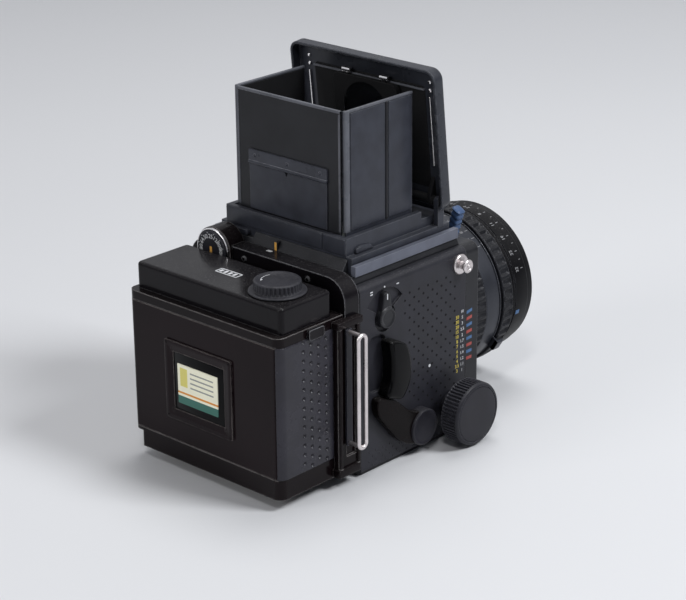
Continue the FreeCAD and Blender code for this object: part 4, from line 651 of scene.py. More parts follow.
@dataclass(frozen=True)
class Finish(Coating):
    """A coated, moulded or metal surface. Lengths are in mm, noise scales per metre."""

    colour: Colour
    roughness: float = 0.4
    metallic: float = 0.0
    coat: float = 0.0
    shade: float = 0.75
    grain: float = 2600.0
    depth: float = 0.02
    patch: float = 0.08
    edge: float = 0.3
    # The edge amount and edge colour below mark rubbed edges, and in light colours they also paint highlights
    # along them.
    wear_and_highlight: float = 0.25
    worn_and_highlight: Colour = (0.22, 0.22, 0.23)
    dust: float = 0.15
    specular: float = 0.22
    dust_colour: Colour = (0.42, 0.41, 0.4)
    dust_roughness: float = 0.3
    coat_roughness: float = 0.06

    def wire(self, w: Wiring) -> None:
        """Add the nodes: grain makes the height; patches, rubbed edges, painted edge highlights and dust make
        the colour.

        Args:
            w: wiring of the material's tree.
        """
        coords = w.node("ShaderNodeTexCoord").outputs["Object"]
        grain = w.node("ShaderNodeGroup", {"Vector": coords, "Scale": self.grain}, node_tree=Effects.grain())
        soft = w.node("ShaderNodeGroup", {"Radius": self.edge * MM, "Depth": self.depth * MM,
                                          "Height": grain.outputs["Height"]}, node_tree=Effects.soft_edge())
        wear_and_highlight = w.node("ShaderNodeGroup", {"Vector": coords, "Edge": soft.outputs["Edge"],
                                          "Amount": self.wear_and_highlight}, node_tree=Effects.wear_and_highlight())
        dust = w.node("ShaderNodeGroup", {"Vector": coords, "Amount": self.dust}, node_tree=Effects.dust())
        dark = tuple(c * self.shade for c in self.colour)
        colour = self.base(w, coords, w.blend(grain.outputs["Patch"], dark, self.colour))
        # Rubbed edges get the light edge colour, which also paints highlights on them.
        colour = w.blend(wear_and_highlight.outputs[0], colour, self.worn_and_highlight)
        colour = w.blend(dust.outputs[0], colour, self.dust_colour)
        rough = w.sum("MULTIPLY", w.sum("SUBTRACT", grain.outputs["Patch"], 0.5), self.patch)
        rough = w.sum("ADD", rough, self.roughness, True)
        rough = w.sum("ADD", rough, w.sum("MULTIPLY", dust.outputs[0], self.dust_roughness), True)
        w.close("ShaderNodeBsdfPrincipled", {
            "Base Color": colour, "Roughness": rough, "Metallic": self.metallic,
            "Coat Weight": self.coat, "Coat Roughness": self.coat_roughness,
            "Specular IOR Level": self.specular, "Normal": soft.outputs["Normal"]})

    def base(self, w: Wiring, coords: bpy.types.NodeSocket,
             colour: bpy.types.NodeSocket) -> bpy.types.NodeSocket:
        """The colour before wear and dust; plain finishes leave it as it is."""
        return colour


@dataclass(frozen=True)
class PrintedCard(Finish):
    """Card printed in plain bands: a green band below, an orange line, a block and grey lines."""

    x0: float = -11.0
    x1: float = 17.6
    z0: float = 39.6
    z1: float = 61.0
    pitch: float = 2.6
    green: Colour = (0.05, 0.16, 0.13)
    orange: Colour = (0.75, 0.3, 0.05)
    yellow: Colour = (0.75, 0.68, 0.2)
    grey: Colour = (0.3, 0.32, 0.3)

    def base(self, w: Wiring, coords: bpy.types.NodeSocket,
             colour: bpy.types.NodeSocket) -> bpy.types.NodeSocket:
        """Bands across the card by height, a block at one end and lines beside it.

        Args:
            w: wiring of the material's tree.
            coords: Object coordinates.
            colour: colour of the bare card.

        Returns:
            The printed colour.
        """
        split = w.node("ShaderNodeSeparateXYZ", {0: coords})
        x, z = split.outputs[0], split.outputs[2]

        def inside(value: bpy.types.NodeSocket, low: float, high: float) -> bpy.types.NodeSocket:
            """1 where the value is between two places in mm."""
            return w.sum("MULTIPLY", w.sum("GREATER_THAN", value, low * MM),
                         w.sum("LESS_THAN", value, high * MM))

        h = self.z1 - self.z0
        middle = self.z0 + 0.45 * h
        block = w.sum("MULTIPLY", inside(x, self.x1 - 7.0, self.x1 - 1.8), inside(z, middle, self.z1 - 1.8))
        rows = w.sum("LESS_THAN", w.sum("FRACT", w.sum("DIVIDE", z, self.pitch * MM)), 0.3)
        rows = w.sum("MULTIPLY", inside(x, self.x0 + 3, self.x1 - 9), rows)
        for mask, paint in ((inside(z, self.z0, self.z0 + 0.2 * h), self.green),
                            (inside(z, self.z0 + 0.26 * h, self.z0 + 0.31 * h), self.orange),
                            (block, self.yellow),
                            (w.sum("MULTIPLY", rows, inside(z, middle, self.z1 - 3)), self.grey)):
            colour = w.blend(mask, colour, paint)
        return colour


@dataclass(frozen=True)
class GroundGlass(Finish):
    """Matt screen with fine guide lines."""

    middle_y: float = 3.0
    line_place: float = 11.5
    line_half: float = 0.12
    line: Colour = (0.02, 0.02, 0.02)

    def base(self, w: Wiring, coords: bpy.types.NodeSocket,
             colour: bpy.types.NodeSocket) -> bpy.types.NodeSocket:
        """Two lines each way, as far from the middle on one side as on the other.

        Args:
            w: wiring of the material's tree.
            coords: Object coordinates.
            colour: colour of the screen.

        Returns:
            The lined colour.
        """
        split = w.node("ShaderNodeSeparateXYZ", {0: coords})
        mask: object = 0.0
        for out, middle in ((0, 0.0), (1, self.middle_y)):
            away = w.sum("ABSOLUTE", w.sum("SUBTRACT", split.outputs[out], middle * MM))
            gap = w.sum("ABSOLUTE", w.sum("SUBTRACT", away, self.line_place * MM))
            mask = w.sum("MAXIMUM", mask, w.sum("LESS_THAN", gap, self.line_half * MM))
        return w.blend(mask, colour, self.line)


@dataclass(frozen=True)
class CoatedGlass(Coating):
    """Clear glass with a tinted coating and a faint haze."""

    tint: Colour
    clear: Colour = (0.86, 0.89, 0.9)
    roughness: float = 0.02
    haze: float = 0.025
    haze_scale: float = 1400.0
    index: float = 1.52

    def wire(self, w: Wiring) -> None:
        """Add the nodes: the tint grows where the surface turns away, the haze makes it rougher.

        Args:
            w: wiring of the material's tree.
        """
        coords = w.node("ShaderNodeTexCoord").outputs["Object"]
        haze = w.node("ShaderNodeGroup", {"Vector": coords, "Scale": self.haze_scale},
                      node_tree=Effects.grain())
        facing = w.node("ShaderNodeLayerWeight", {"Blend": 0.35})
        rough = w.sum("ADD", w.sum("MULTIPLY", haze.outputs["Patch"], self.haze), self.roughness)
        w.close("ShaderNodeBsdfPrincipled", {
            "Base Color": w.blend(facing.outputs["Facing"], self.clear, self.tint),
            "Roughness": rough, "Transmission Weight": 1.0, "IOR": self.index})


@dataclass(frozen=True)
class PaleFloor(Coating):
    """Pale matt floor with slow, faint patches."""

    low: Colour = (0.7, 0.705, 0.725)
    high: Colour = (0.78, 0.785, 0.8)

    def wire(self, w: Wiring) -> None:
        """Add the nodes: one slow noise between the two colours.

        Args:
            w: wiring of the material's tree.
        """
        coords = w.node("ShaderNodeTexCoord").outputs["Object"]
        colour = w.blend(w.noise(coords, 1.2, 2.0), self.low, self.high)
        w.close("ShaderNodeBsdfPrincipled", {"Base Color": colour, "Roughness": 0.6})


# On the gloss, plastic, lens, clip, lid and hood finishes the light edge colours paint highlights and glints
# along edges and rib tips, beside real rubbing.
SIDE_COAT = Finish("Fine textured black", (0.024, 0.024, 0.031), 0.43, depth=0.035, grain=3800.0,
                   edge=0.9, wear_and_highlight=0.2)
SATIN = Finish("Satin black", (0.017, 0.0175, 0.021), 0.32, edge=0.8, wear_and_highlight=0.45)
HOOD_COAT = Finish("Hood satin", (0.04, 0.043, 0.056), 0.34, depth=0.03, grain=4200.0, edge=0.7,
                   wear_and_highlight=0.5, worn_and_highlight=(0.2, 0.205, 0.22))
CLIP_COAT = Finish("Clip satin", (0.05, 0.053, 0.068), 0.3, edge=0.35, wear_and_highlight=0.9, worn_and_highlight=(0.35, 0.36, 0.4))
# Rim colour lighter than the hood: a painted highlight on the folded edges, corner posts and the lid's
# crossbar, with rubbed edges on top.
HOOD_RIM_HIGHLIGHT = Finish("Hood rim, rubbed, with painted highlight", (0.12, 0.125, 0.145), 0.3, edge=0.4, wear_and_highlight=0.8,
                  worn_and_highlight=(0.42, 0.42, 0.45), patch=0.2)
# Lid colour lighter than the other satins: partly its own tone, partly painted sheen.
LID_SATIN_AND_SHEEN = Finish("Lid satin with painted sheen", (0.034, 0.037, 0.047), 0.3, edge=0.9, wear_and_highlight=0.7, worn_and_highlight=(0.24, 0.25, 0.28),
                  patch=0.15)
HOOD_DARK = Finish("Hood matt inside", (0.005, 0.005, 0.006), 0.7, wear_and_highlight=0.1, dust=0.1)
BROWN_GLOSS = Finish("Brown black gloss", (0.0088, 0.0042, 0.0056), 0.2, coat=0.03, specular=0.1,
                     depth=0.004, grain=900.0, edge=0.9, wear_and_highlight=0.9, worn_and_highlight=(0.26, 0.235, 0.225),
                     patch=0.12, dust=0.08)
BACK_GLOSS = Finish("Back gloss", (0.0072, 0.0043, 0.0052), 0.19, coat=0.05, specular=0.1, depth=0.006,
                    grain=1200.0, edge=1.0, wear_and_highlight=0.9, worn_and_highlight=(0.28, 0.265, 0.26), patch=0.12, dust=0.1)
PANEL_COAT = Finish("Side panel satin", (0.025, 0.024, 0.033), 0.26, depth=0.015, grain=3600.0, edge=0.2,
                    wear_and_highlight=0.2, specular=0.3)
HOUSING_COAT = Finish("Housing gloss", (0.0072, 0.006, 0.0078), 0.2, coat=0.05, specular=0.12, depth=0.01,
                      grain=1500.0, edge=1.0, wear_and_highlight=0.9, worn_and_highlight=(0.29, 0.29, 0.305), patch=0.12, dust=0.12)
MATT_PLASTIC = Finish("Matt black plastic", (0.018, 0.018, 0.024), 0.42, edge=0.25, wear_and_highlight=0.8,
                      worn_and_highlight=(0.24, 0.24, 0.28))
GLOSS_PLASTIC = Finish("Gloss black plastic", (0.0015, 0.0015, 0.002), 0.12, coat=0.04, specular=0.08,
                       depth=0.003, edge=0.8, wear_and_highlight=0.9, worn_and_highlight=(0.3, 0.3, 0.32))
LEVER_COAT = Finish("Lever gloss", (0.005, 0.0034, 0.0036), 0.25, specular=0.08, depth=0.006, edge=0.6,
                    wear_and_highlight=0.7, worn_and_highlight=(0.26, 0.23, 0.21))
KNOB_FACE_COAT = Finish("Knob face satin", (0.019, 0.0185, 0.025), 0.36, grain=3000.0, edge=0.4, wear_and_highlight=0.35)
LENS_BLACK = Finish("Anodised lens black", (0.038, 0.041, 0.052), 0.34, metallic=0.5, depth=0.006,
                    grain=2200.0, wear_and_highlight=0.7, worn_and_highlight=(0.3, 0.3, 0.32), patch=0.1, specular=0.4)
LENS_FRONT = Finish("Lens front black", (0.004, 0.0038, 0.005), 0.35, specular=0.06, depth=0.006,
                    wear_and_highlight=0.6, worn_and_highlight=(0.2, 0.2, 0.22))
LENS_RING = Finish("Ribbed lens black", (0.013, 0.0135, 0.017), 0.38, metallic=0.2, specular=0.2,
                   wear_and_highlight=0.8, worn_and_highlight=(0.24, 0.25, 0.28), depth=0.006)
LENS_INNER = Finish("Lens inner matt", (0.004, 0.004, 0.005), 0.7, depth=0.01, wear_and_highlight=0.0, dust=0.0)
RAIL_COAT = Finish("Rail grey", (0.14, 0.15, 0.19), metallic=0.15, depth=0.012, edge=0.4, wear_and_highlight=0.4,
                   worn_and_highlight=(0.42, 0.42, 0.45))
GREY_TAB = Finish("Grey tab", (0.05, 0.053, 0.068), 0.38, edge=0.5, wear_and_highlight=0.3)
STUD = Finish("Stud plating", (0.72, 0.67, 0.67), 0.3, metallic=1.0, depth=0.004, edge=0.4, wear_and_highlight=0.1,
              worn_and_highlight=(0.8, 0.76, 0.72), dust=0.05)
BRIGHT = Finish("Bright plating", (0.84, 0.82, 0.83), 0.12, metallic=1.0, depth=0.003, grain=700.0,
                wear_and_highlight=0.1, worn_and_highlight=(0.7, 0.66, 0.6), dust=0.05, shade=0.93)
STEEL = Finish("Brushed steel", (0.55, 0.55, 0.56), 0.3, metallic=1.0, depth=0.006, grain=1800.0,
               edge=0.25, wear_and_highlight=0.2, worn_and_highlight=(0.75, 0.75, 0.76), dust=0.08, shade=0.85)
ALLOY = Finish("Satin alloy", (0.55, 0.56, 0.58), 0.38, metallic=1.0, depth=0.008, edge=0.25,
               wear_and_highlight=0.1, worn_and_highlight=(0.8, 0.8, 0.8), dust=0.05)
BRASS = Finish("Turned brass", (0.72, 0.55, 0.26), 0.3, metallic=1.0, depth=0.006, edge=0.2, wear_and_highlight=0.2,
               worn_and_highlight=(0.9, 0.8, 0.5))
BLUE_TAB = Finish("Blue tab", (0.065, 0.115, 0.235), 0.3, wear_and_highlight=0.6, worn_and_highlight=(0.3, 0.42, 0.6))
CLOTH = Finish("Folded cloth", (0.011, 0.011, 0.012), 0.75, depth=0.12, grain=1900.0, edge=0.2,
               wear_and_highlight=0.15, worn_and_highlight=(0.06, 0.06, 0.06), dust=0.25)
CARD = PrintedCard("Printed card", (0.95, 0.93, 0.74), 0.45, depth=0.01, edge=0.1, wear_and_highlight=0.0, dust=0.05,
                   shade=0.97)
SCREEN = GroundGlass("Ground screen", (0.3, 0.32, 0.31), 0.3, depth=0.004, edge=0.1, wear_and_highlight=0.0, dust=0.1)
SILVER = Finish("Silvered glass", (0.88, 0.9, 0.9), 0.03, metallic=1.0, depth=0.0, edge=0.1, wear_and_highlight=0.0,
                dust=0.1, shade=0.98, patch=0.02)
GLASS = CoatedGlass("Coated glass", (0.42, 0.5, 0.85))


def ink(name: str, colour: Colour) -> Finish:
    """Flat printed paint of one colour."""
    return Finish(name, colour, 0.5, depth=0.0, edge=0.02, wear_and_highlight=0.0, dust=0.0, shade=0.85)


WHITE_INK = ink("White figures", (0.72, 0.73, 0.75))
DIM_INK = ink("Dim figures", (0.3, 0.3, 0.31))
YELLOW_INK = ink("Yellow figures", (0.72, 0.58, 0.1))
RED_INK = ink("Red bars", (0.4, 0.08, 0.07))
BLUE_INK = ink("Blue bars", (0.08, 0.17, 0.34))
ORANGE_INK = ink("Orange marks", (0.85, 0.45, 0.1))

NODE_FINISHES: dict[str, Coating] = {
    "body_shell": SATIN, "base_plate": SATIN, "base_screws": STEEL, "right_side_cover": SIDE_COAT,
    "left_side_cover": SIDE_COAT, "top_plate": SATIN, "finder_rails": RAIL_COAT,
    "accessory_shoe": STEEL, "mirror_box": LENS_INNER, "screen_frame": SATIN,
    "focusing_screen": SCREEN, "mirror_frame": SATIN, "mirror_glass": SILVER,
    "front_standard": SATIN, "distance_scale_plate": ALLOY, "pinion_shaft": STEEL,
    "focus_lock_lever": STEEL, "lens_elements": GLASS, "lens_shutter": ALLOY,
    "release_button": BRIGHT, "release_lock_ring": STEEL, "finder_base": HOOD_COAT,
    "finder_release_tab": GREY_TAB, "right_leaf": HOOD_COAT, "left_leaf": HOOD_COAT,
    "rear_leaf": SATIN, "magnifier_frame": HOOD_DARK, "magnifier_lens": GLASS,
    "revolving_adapter": HOUSING_COAT, "back_shell": BACK_GLOSS, "top_housing": HOUSING_COAT,
    "film_gate": LENS_INNER, "pressure_plate": STEEL, "slide_guide": BACK_GLOSS,
    "dark_slide": MATT_PLASTIC, "dark_slide_handle": STUD, "rear_door": BROWN_GLOSS,
    "door_catch": HOUSING_COAT, "wind_shaft": STEEL, "takeup_spool": MATT_PLASTIC,
    "supply_spool": MATT_PLASTIC, "counter_wheel": BRASS,
}


# Pieces

@dataclass(frozen=True)
class Piece:
    """A finished mesh and where it belongs."""

    name: str
    body: str
    slot: str
    finish: Coating
    replaces: tuple[str, ...] = ()
    stays: bool = True
    sharp_deg: float = 32.0
    seam_m: float = 2e-6

    def build(self, shell: Shell) -> bpy.types.Object:
        """Make the mesh in metres, close its seams, turn its faces outwards and dress it.

        Args:
            shell: points and faces in mm.

        Returns:
            The object.
        """
        mesh = bpy.data.meshes.new(self.name)
        mesh.from_pydata((np.concatenate(shell.verts) * MM).tolist(), [], shell.faces)
        work = bmesh.new()
        work.from_mesh(mesh)
        bmesh.ops.remove_doubles(work, verts=work.verts, dist=self.seam_m)
        bmesh.ops.recalc_face_normals(work, faces=work.faces)
        work.to_mesh(mesh)
        work.free()
        mesh.polygons.foreach_set("use_smooth", np.ones(len(mesh.polygons), bool))
        mesh.set_sharp_from_angle(angle=math.radians(self.sharp_deg))
        mesh.materials.append(self.finish.material())
        made = bpy.data.objects.new(self.name, mesh)
        bpy.context.scene.collection.objects.link(made)
        if self.stays:
            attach(made, self.body)
        if self.replaces:
            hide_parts(*self.replaces)
        LOG.info("piece %s: %d faces, rides on %s", self.name, len(mesh.polygons), self.body)
        return made


@dataclass(frozen=True)
class FinderHood:
    """Leaves of the waist-level finder: rims, rolled corners, bead, panels, clip and flap."""

    half: float = 37.8
    rear: float = 36.2
    front: float = -14.5
    top: float = 187.3
    foot: float = 125.4
    post_y: float = 33.7
    bead_y: float = 5.0
    bead_r: float = 0.95
    rear_half: float = 35.4
    clip_half: float = 27.2
    clip_low: float = 149.6
    clip_high: float = 156.6
    clip_t: float = 1.1
    flap_low: float = 124.9
    flap_t: float = 0.8
    leaf_t: float = 1.2
    panel_t: float = 0.32
    lining_t: float = 0.12

    def side_trim(self) -> Shell:
        """The two slightly raised panels of one side leaf.

        Returns:
            The panels.
        """
        shell = Shell()
        spans = ((self.bead_y + 1.6, self.post_y - 2.3), (self.front + 0.9, self.bead_y - 1.5))
        for y0, y1 in spans:
            outline = rounded_rect(y0, y1, self.foot, self.top - 1.3, 0.5, 3)
            shell.rings(slab(Axis.X, outline, self.half - 0.1, self.half + self.panel_t, 0.22))
        return shell

    def side_rim(self) -> Shell:
        """Folded top edge and rounded rear corner post of one side leaf.

        Returns:
            The edge and the post.
        """
        x, y, z = self.half, self.post_y, self.top
        fold = rounded_rect(x - 1.45, x + 0.35, z - 1.1, z + 0.25, 0.4, 3)
        post = rounded_rect(x - 1.5, x + 0.3, y - 1.9, y + 1.7, 0.85, 5)
        shell = Shell().rings(slab(Axis.Y, fold, self.front - 0.1, y - 1.0, 0.3, 0.3))
        return shell.rings(slab(Axis.Z, post, self.foot, z + 0.2, 0.4))

    def side_bead(self) -> Shell:
        """Upright bead where one side leaf can bend."""
        rows = [(self.bead_r, self.foot), (self.bead_r, self.top - 0.9), (0.6, self.top - 0.5)]
        return Shell().rings(turned(Axis.Z, self.half - 0.15, self.bead_y, rows, 16))

    def lining(self, axis: Axis, low: float, high: float, outer: float, drop: float) -> Shell:
        """Black sheet on the inner face of one leaf.

        Args:
            axis: the axis across the leaf.
            low: one side of the sheet.
            high: its other side.
            outer: outer face of the leaf.
            drop: how far below the hood's top the sheet ends.

        Returns:
            The sheet.
        """
        outline = rounded_rect(low, high, self.foot, self.top - drop, 0.5, 2)
        inner = outer - self.leaf_t
        return Shell().rings(slab(axis, outline, inner + 0.05, inner - self.lining_t, 0.05))

    def rear_trim(self) -> Shell:
        """Folded top edge of the rear leaf and its inner stiffening lips.

        Returns:
            The edge and the lips.
        """
        y, h = self.rear, self.rear_half
        fold = rounded_rect(y - 1.5, y + 0.35, self.top - 1.25, self.top + 0.3, 0.45, 3)
        lip = rounded_rect(y - 0.6, y + 0.28, self.foot, self.top - 1.6, 0.25, 3)
        shell = Shell().rings(slab(Axis.X, fold, -h, h, 0.3, 0.3))
        for s in (-1, 1):
            shell.rings(slab(Axis.X, lip, s * (h - 1.1), s * (h - 0.05), 0.2, 0.2))
        return shell

    def clip(self) -> Shell:
        """Clip strip with a rolled lower edge and three domed rivets.

        Returns:
            The strip and the rivets.
        """
        y, h, low = self.rear, self.clip_half, self.clip_low
        strip = rounded_rect(-h, h, low + 0.4, self.clip_high, 0.9, 4)
        roll = rounded_rect(y, y + 1.6, low - 0.5, low + 1.2, 0.75, 4)
        shell = Shell().rings(slab(Axis.Y, strip, y, y + self.clip_t, 0.4))
        shell.rings(slab(Axis.X, roll, -h, h, 0.4, 0.4))
        dome = [(1.05, y + 1.0), (1.0, y + 1.3), (0.75, y + 1.6), (0.35, y + 1.75), (AXIS_R, y + 1.78)]
        for x in (-h + 4.5, 0.0, h - 4.5):
            shell.rings(turned(Axis.Y, x, (low + self.clip_high) / 2 + 0.4, dome, 14))
        return shell

    def flap(self) -> Shell:
        """Spring flap under the clip, with a small notch in its upper edge.

        Returns:
            The flap.
        """
        h, z0, z1 = self.clip_half - 0.3, self.flap_low, self.clip_low - 0.6
        corners = [(-h, z0), (h, z0), (h, z1), (2.0, z1), (0.8, z1 - 2.6), (-0.4, z1), (-h, z1)]
        outline = rounded_polygon(corners, 0.5, 3)
        return Shell().rings(slab(Axis.Y, outline, self.rear + 0.15, self.rear + self.flap_t, 0.25))

    def dress(self) -> None:
        """Build and place every piece of the hood."""
        side = (self.front + 0.6, self.post_y - 2.4, self.half, 1.2)
        for name, turn in (("right", mirror_x), ("left", np.asarray)):
            # The rim pieces take the light rim finish, a painted highlight on the folded edges and posts.
            for piece, finish, shell in (("panels", HOOD_COAT, self.side_trim()),
                                         ("rim", HOOD_RIM_HIGHLIGHT, self.side_rim()),
                                         ("bead", SATIN, self.side_bead()),
                                         ("lining", HOOD_DARK, self.lining(Axis.X, *side))):
                Piece(f"{name}_leaf_{piece}", f"leaf_{name}", "satin_black", finish).build(shell.moved(turn))
        h = self.rear_half - 2.6
        # The rear leaf's rim takes the same light finish with its painted highlight.
        for piece, finish, shell, old in (("rear_leaf_lining", HOOD_DARK,
                                           self.lining(Axis.Y, -h, h, self.rear, 1.4), ()),
                                          ("rear_leaf_rim", HOOD_RIM_HIGHLIGHT, self.rear_trim(), ()),
                                          ("rear_clip_strip", CLIP_COAT, self.clip(), ("rear_leaf_clip",)),
                                          ("rear_flap", HOOD_COAT, self.flap(), ())):
            Piece(piece, "leaf_rear", "satin_black", finish, old).build(shell)


@dataclass(frozen=True)
class FinderLid:
    """Tray lid, drawn closed and turned up about its pivot, with its strip, screws and brackets."""

    half: float = 49.9
    pivot_y: float = -27.7
    pivot_z: float = 128.0
    fore: float = 5.0
    aft: float = 71.4
    rim: float = 1.6
    rim_low: float = 124.5
    plate: float = 130.5
    back: float = 132.1
    back_edge: float = 2.2
    corner: float = 6.0
    gate_half: float = 47.2
    open_deg: float = 84.0
    hinge_aft: float = 60.7
    hinge_x: float = 13.0
    strip_x: float = 41.5
    shade_plate_half: float = 38.0
    tube_half: float = 42.7

    def opened(self, points: Array) -> Array:
        """Points of the closed lid where they are with the lid open."""
        return turn_x(points, self.pivot_y, self.pivot_z, self.open_deg)

    def tray(self) -> Shell:
        """Plate with a rounded back edge and a rim that stops at the ears.

        Returns:
            The tray, open.
        """
        y0, y1, spans = self.pivot_y - self.fore, self.pivot_y + self.aft, 41
        outline = rounded_rect(-self.half, self.half, y0, y1, self.corner, 8)
        gaps = np.linspace(-1, 1, spans)[1:-1]
        side = np.stack([gaps * (self.half - self.corner), np.full(spans - 2, y0)], -1)
        split = len(outline) * 3 // 4
        outline = np.concatenate([outline[:split], side, outline[split:]])
        ears = (outline[:, 1] < y0 + 1.5) & (np.abs(outline[:, 0]) < self.gate_half)
        e, low = self.back_edge, self.rim_low
        t = np.linspace(0, math.pi / 2, 6)
        rows = [(4.0, self.plate), (2.2, self.plate), (self.rim, self.plate - 0.5), (self.rim, low + 0.4),
                (self.rim - 0.4, low), (0.4, low), (0.0, low + 0.4)]
        rows += [(e - e * math.cos(a), self.back - e + e * math.sin(a)) for a in t]
        rings = carried(Axis.Z, outline, np.array(rows), np.where(ears, self.plate, 0.0))
        return Shell().rings(rings).moved(self.opened)

    def trim(self) -> Shell:
        """Bright spring strips, screw heads and the barrels of the magnifier's hinge.

        Returns:
            The small pieces, with the lid open.
        """
        shell, y, z = Shell(), self.pivot_y, self.plate
        head = [(1.1, z), (1.1, z - 0.6), (0.7, z - 1.0), (AXIS_R, z - 1.1)]
        barrel = turned(Axis.X, y + self.hinge_aft, self.pivot_z,
                        [(1.2, -2.7), (1.55, -2.4), (1.55, 2.4), (1.2, 2.7)], 16)
        for s in (-1, 1):
            x = s * self.strip_x
            strip = rounded_rect(x - 0.5, x + 0.5, z - 1.3, z + 0.1, 0.3, 3)
            shell.rings(slab(Axis.Y, strip, y + 18, y + 55, 0.2, 0.2))
            for along in (58.5, 63.0):
                shell.rings(turned(Axis.Z, x, y + along, head, 12))
            shell.rings(barrel + np.array([s * self.hinge_x, 0, 0]))
        return shell.moved(self.opened)

    def brackets(self) -> Shell:
        """Hinge brackets beside the ears, the tube between them and a dark plate on the lid's inner face,
        which paints the shade that falls there.

        Returns:
            The brackets, with the lid open.
        """
        shell, y, z, h = Shell(), self.pivot_y, self.plate, self.shade_plate_half
        outline = rounded_polygon([(y - 3, z), (y - 3, 126.0), (y + 3, 125.6), (y + 12, z)], 1.5)
        for s in (-1, 1):
            for x0, x1 in ((46.2, 47.4), (38.6, 41.0)):
                shell.rings(slab(Axis.X, outline, s * x0, s * x1, 0.3, 0.3))
        # Dark plate: painted shade on the lid's inner face, between the pivot and the magnifier's hinge.
        shade_plate = rounded_rect(-h, h, y + 5, y + 60, 2.0, 4)
        shell.rings(slab(Axis.Z, shade_plate, z, z - 0.45, 0.3))
        w = self.tube_half
        rows = [(1.9, -w), (2.2, -w + 0.3), (2.2, w - 0.3), (1.9, w)]
        return shell.rings(turned(Axis.X, y, self.pivot_z, rows, 28)).moved(self.opened)

    def crossbar(self) -> Shell:
        """Edge across the lid at the magnifier's hinge, in the light rim finish that paints a highlight line
        on it.

        Returns:
            The bar, with the lid open.
        """
        y, z, h = self.pivot_y + self.hinge_aft - 2.2, self.plate, self.shade_plate_half
        outline = rounded_rect(y - 0.5, y + 0.5, z - 1.5, z + 0.1, 0.3, 3)
        return Shell().rings(slab(Axis.X, outline, -h, h, 0.2, 0.2)).moved(self.opened)

    def dress(self) -> None:
        """Build and place every piece of the lid."""
        Piece("lid_tray", "lid", "satin_black", LID_SATIN_AND_SHEEN, ("finder_lid",)).build(self.tray())
        Piece("lid_bright_trim", "lid", "bright", BRIGHT).build(self.trim())
        Piece("lid_brackets", "lid", "satin_black", HOOD_DARK).build(self.brackets())
        Piece("lid_crossbar", "lid", "satin_black", HOOD_RIM_HIGHLIGHT).build(self.crossbar())


@dataclass(frozen=True)
class FinderDeck:
    """Trim round the finder's base: end blocks, side tabs, front lip and the apron's mark."""

    rear: float = 39.5
    collar: float = 42.0
    seam_x: float = -26.3
    block_low: float = 115.4
    block_high: float = 123.9
    mark_x: float = 2.9
    mark_low: float = 108.6
    mark_high: float = 113.0
    mark_y: float = 43.5
    lip_y: float = -33.8
    lip_low: float = 119.8
    lip_high: float = 124.3
    lip_half: float = 41.5

    def blocks(self) -> Shell:
        """End blocks of the base's rear bar, parted by a seam, and the side tabs.

        Returns:
            The blocks and tabs.
        """
        shell, c = Shell(), self.collar
        for x0, x1 in ((-c + 0.2, self.seam_x - 0.3), (self.seam_x + 0.3, c - 0.2)):
            outline = rounded_rect(x0, x1, self.block_low, self.block_high, 0.8, 4)
            shell.rings(slab(Axis.Y, outline, self.rear - 0.1, self.rear + 0.6, 0.55))
        corners = [(20.5, 115.2), (33.5, 115.2), (33.5, 117.6), (30.5, 118.8), (23.0, 118.0)]
        tab = rounded_polygon(corners, 0.8)
        for s in (-1, 1):
            shell.rings(slab(Axis.X, tab, s * (c - 0.1), s * (c + 1.3), 0.35))
        return shell

    def mark(self, width: float, y0: float, y1: float) -> Shell:
        """A small upright fin on the sloping apron.

        Args:
            width: its width.
            y0: its front.
            y1: its rear.

        Returns:
            The fin.
        """
        x, w = self.mark_x, width / 2
        outline = rounded_rect(x - w, x + w, self.mark_low, self.mark_high + width / 5, 0.3, 3)
        return Shell().rings(slab(Axis.Y, outline, y0, y1, 0.06))

    def lip(self) -> Shell:
        """Upright lip along the front of the base, under the lid's edge."""
        outline = rounded_rect(self.lip_y - 0.6, self.lip_y + 0.6, self.lip_low, self.lip_high, 0.3, 3)
        return Shell().rings(slab(Axis.X, outline, -self.lip_half, self.lip_half, 0.3, 0.3))

    def dress(self) -> None:
        """Build and place the trim of the deck."""
        Piece("finder_base_blocks", "body", "satin_black", HOOD_COAT).build(self.blocks())
        Piece("apron_index", "body", "card", ORANGE_INK).build(
            self.mark(1.5, self.mark_y - 0.05, self.mark_y + 0.1))
        Piece("apron_index_base", "body", "satin_black", SATIN).build(
            self.mark(1.9, self.mark_y - 3.5, self.mark_y))
        Piece("finder_front_lip", "body", "satin_black", HOOD_COAT).build(self.lip())


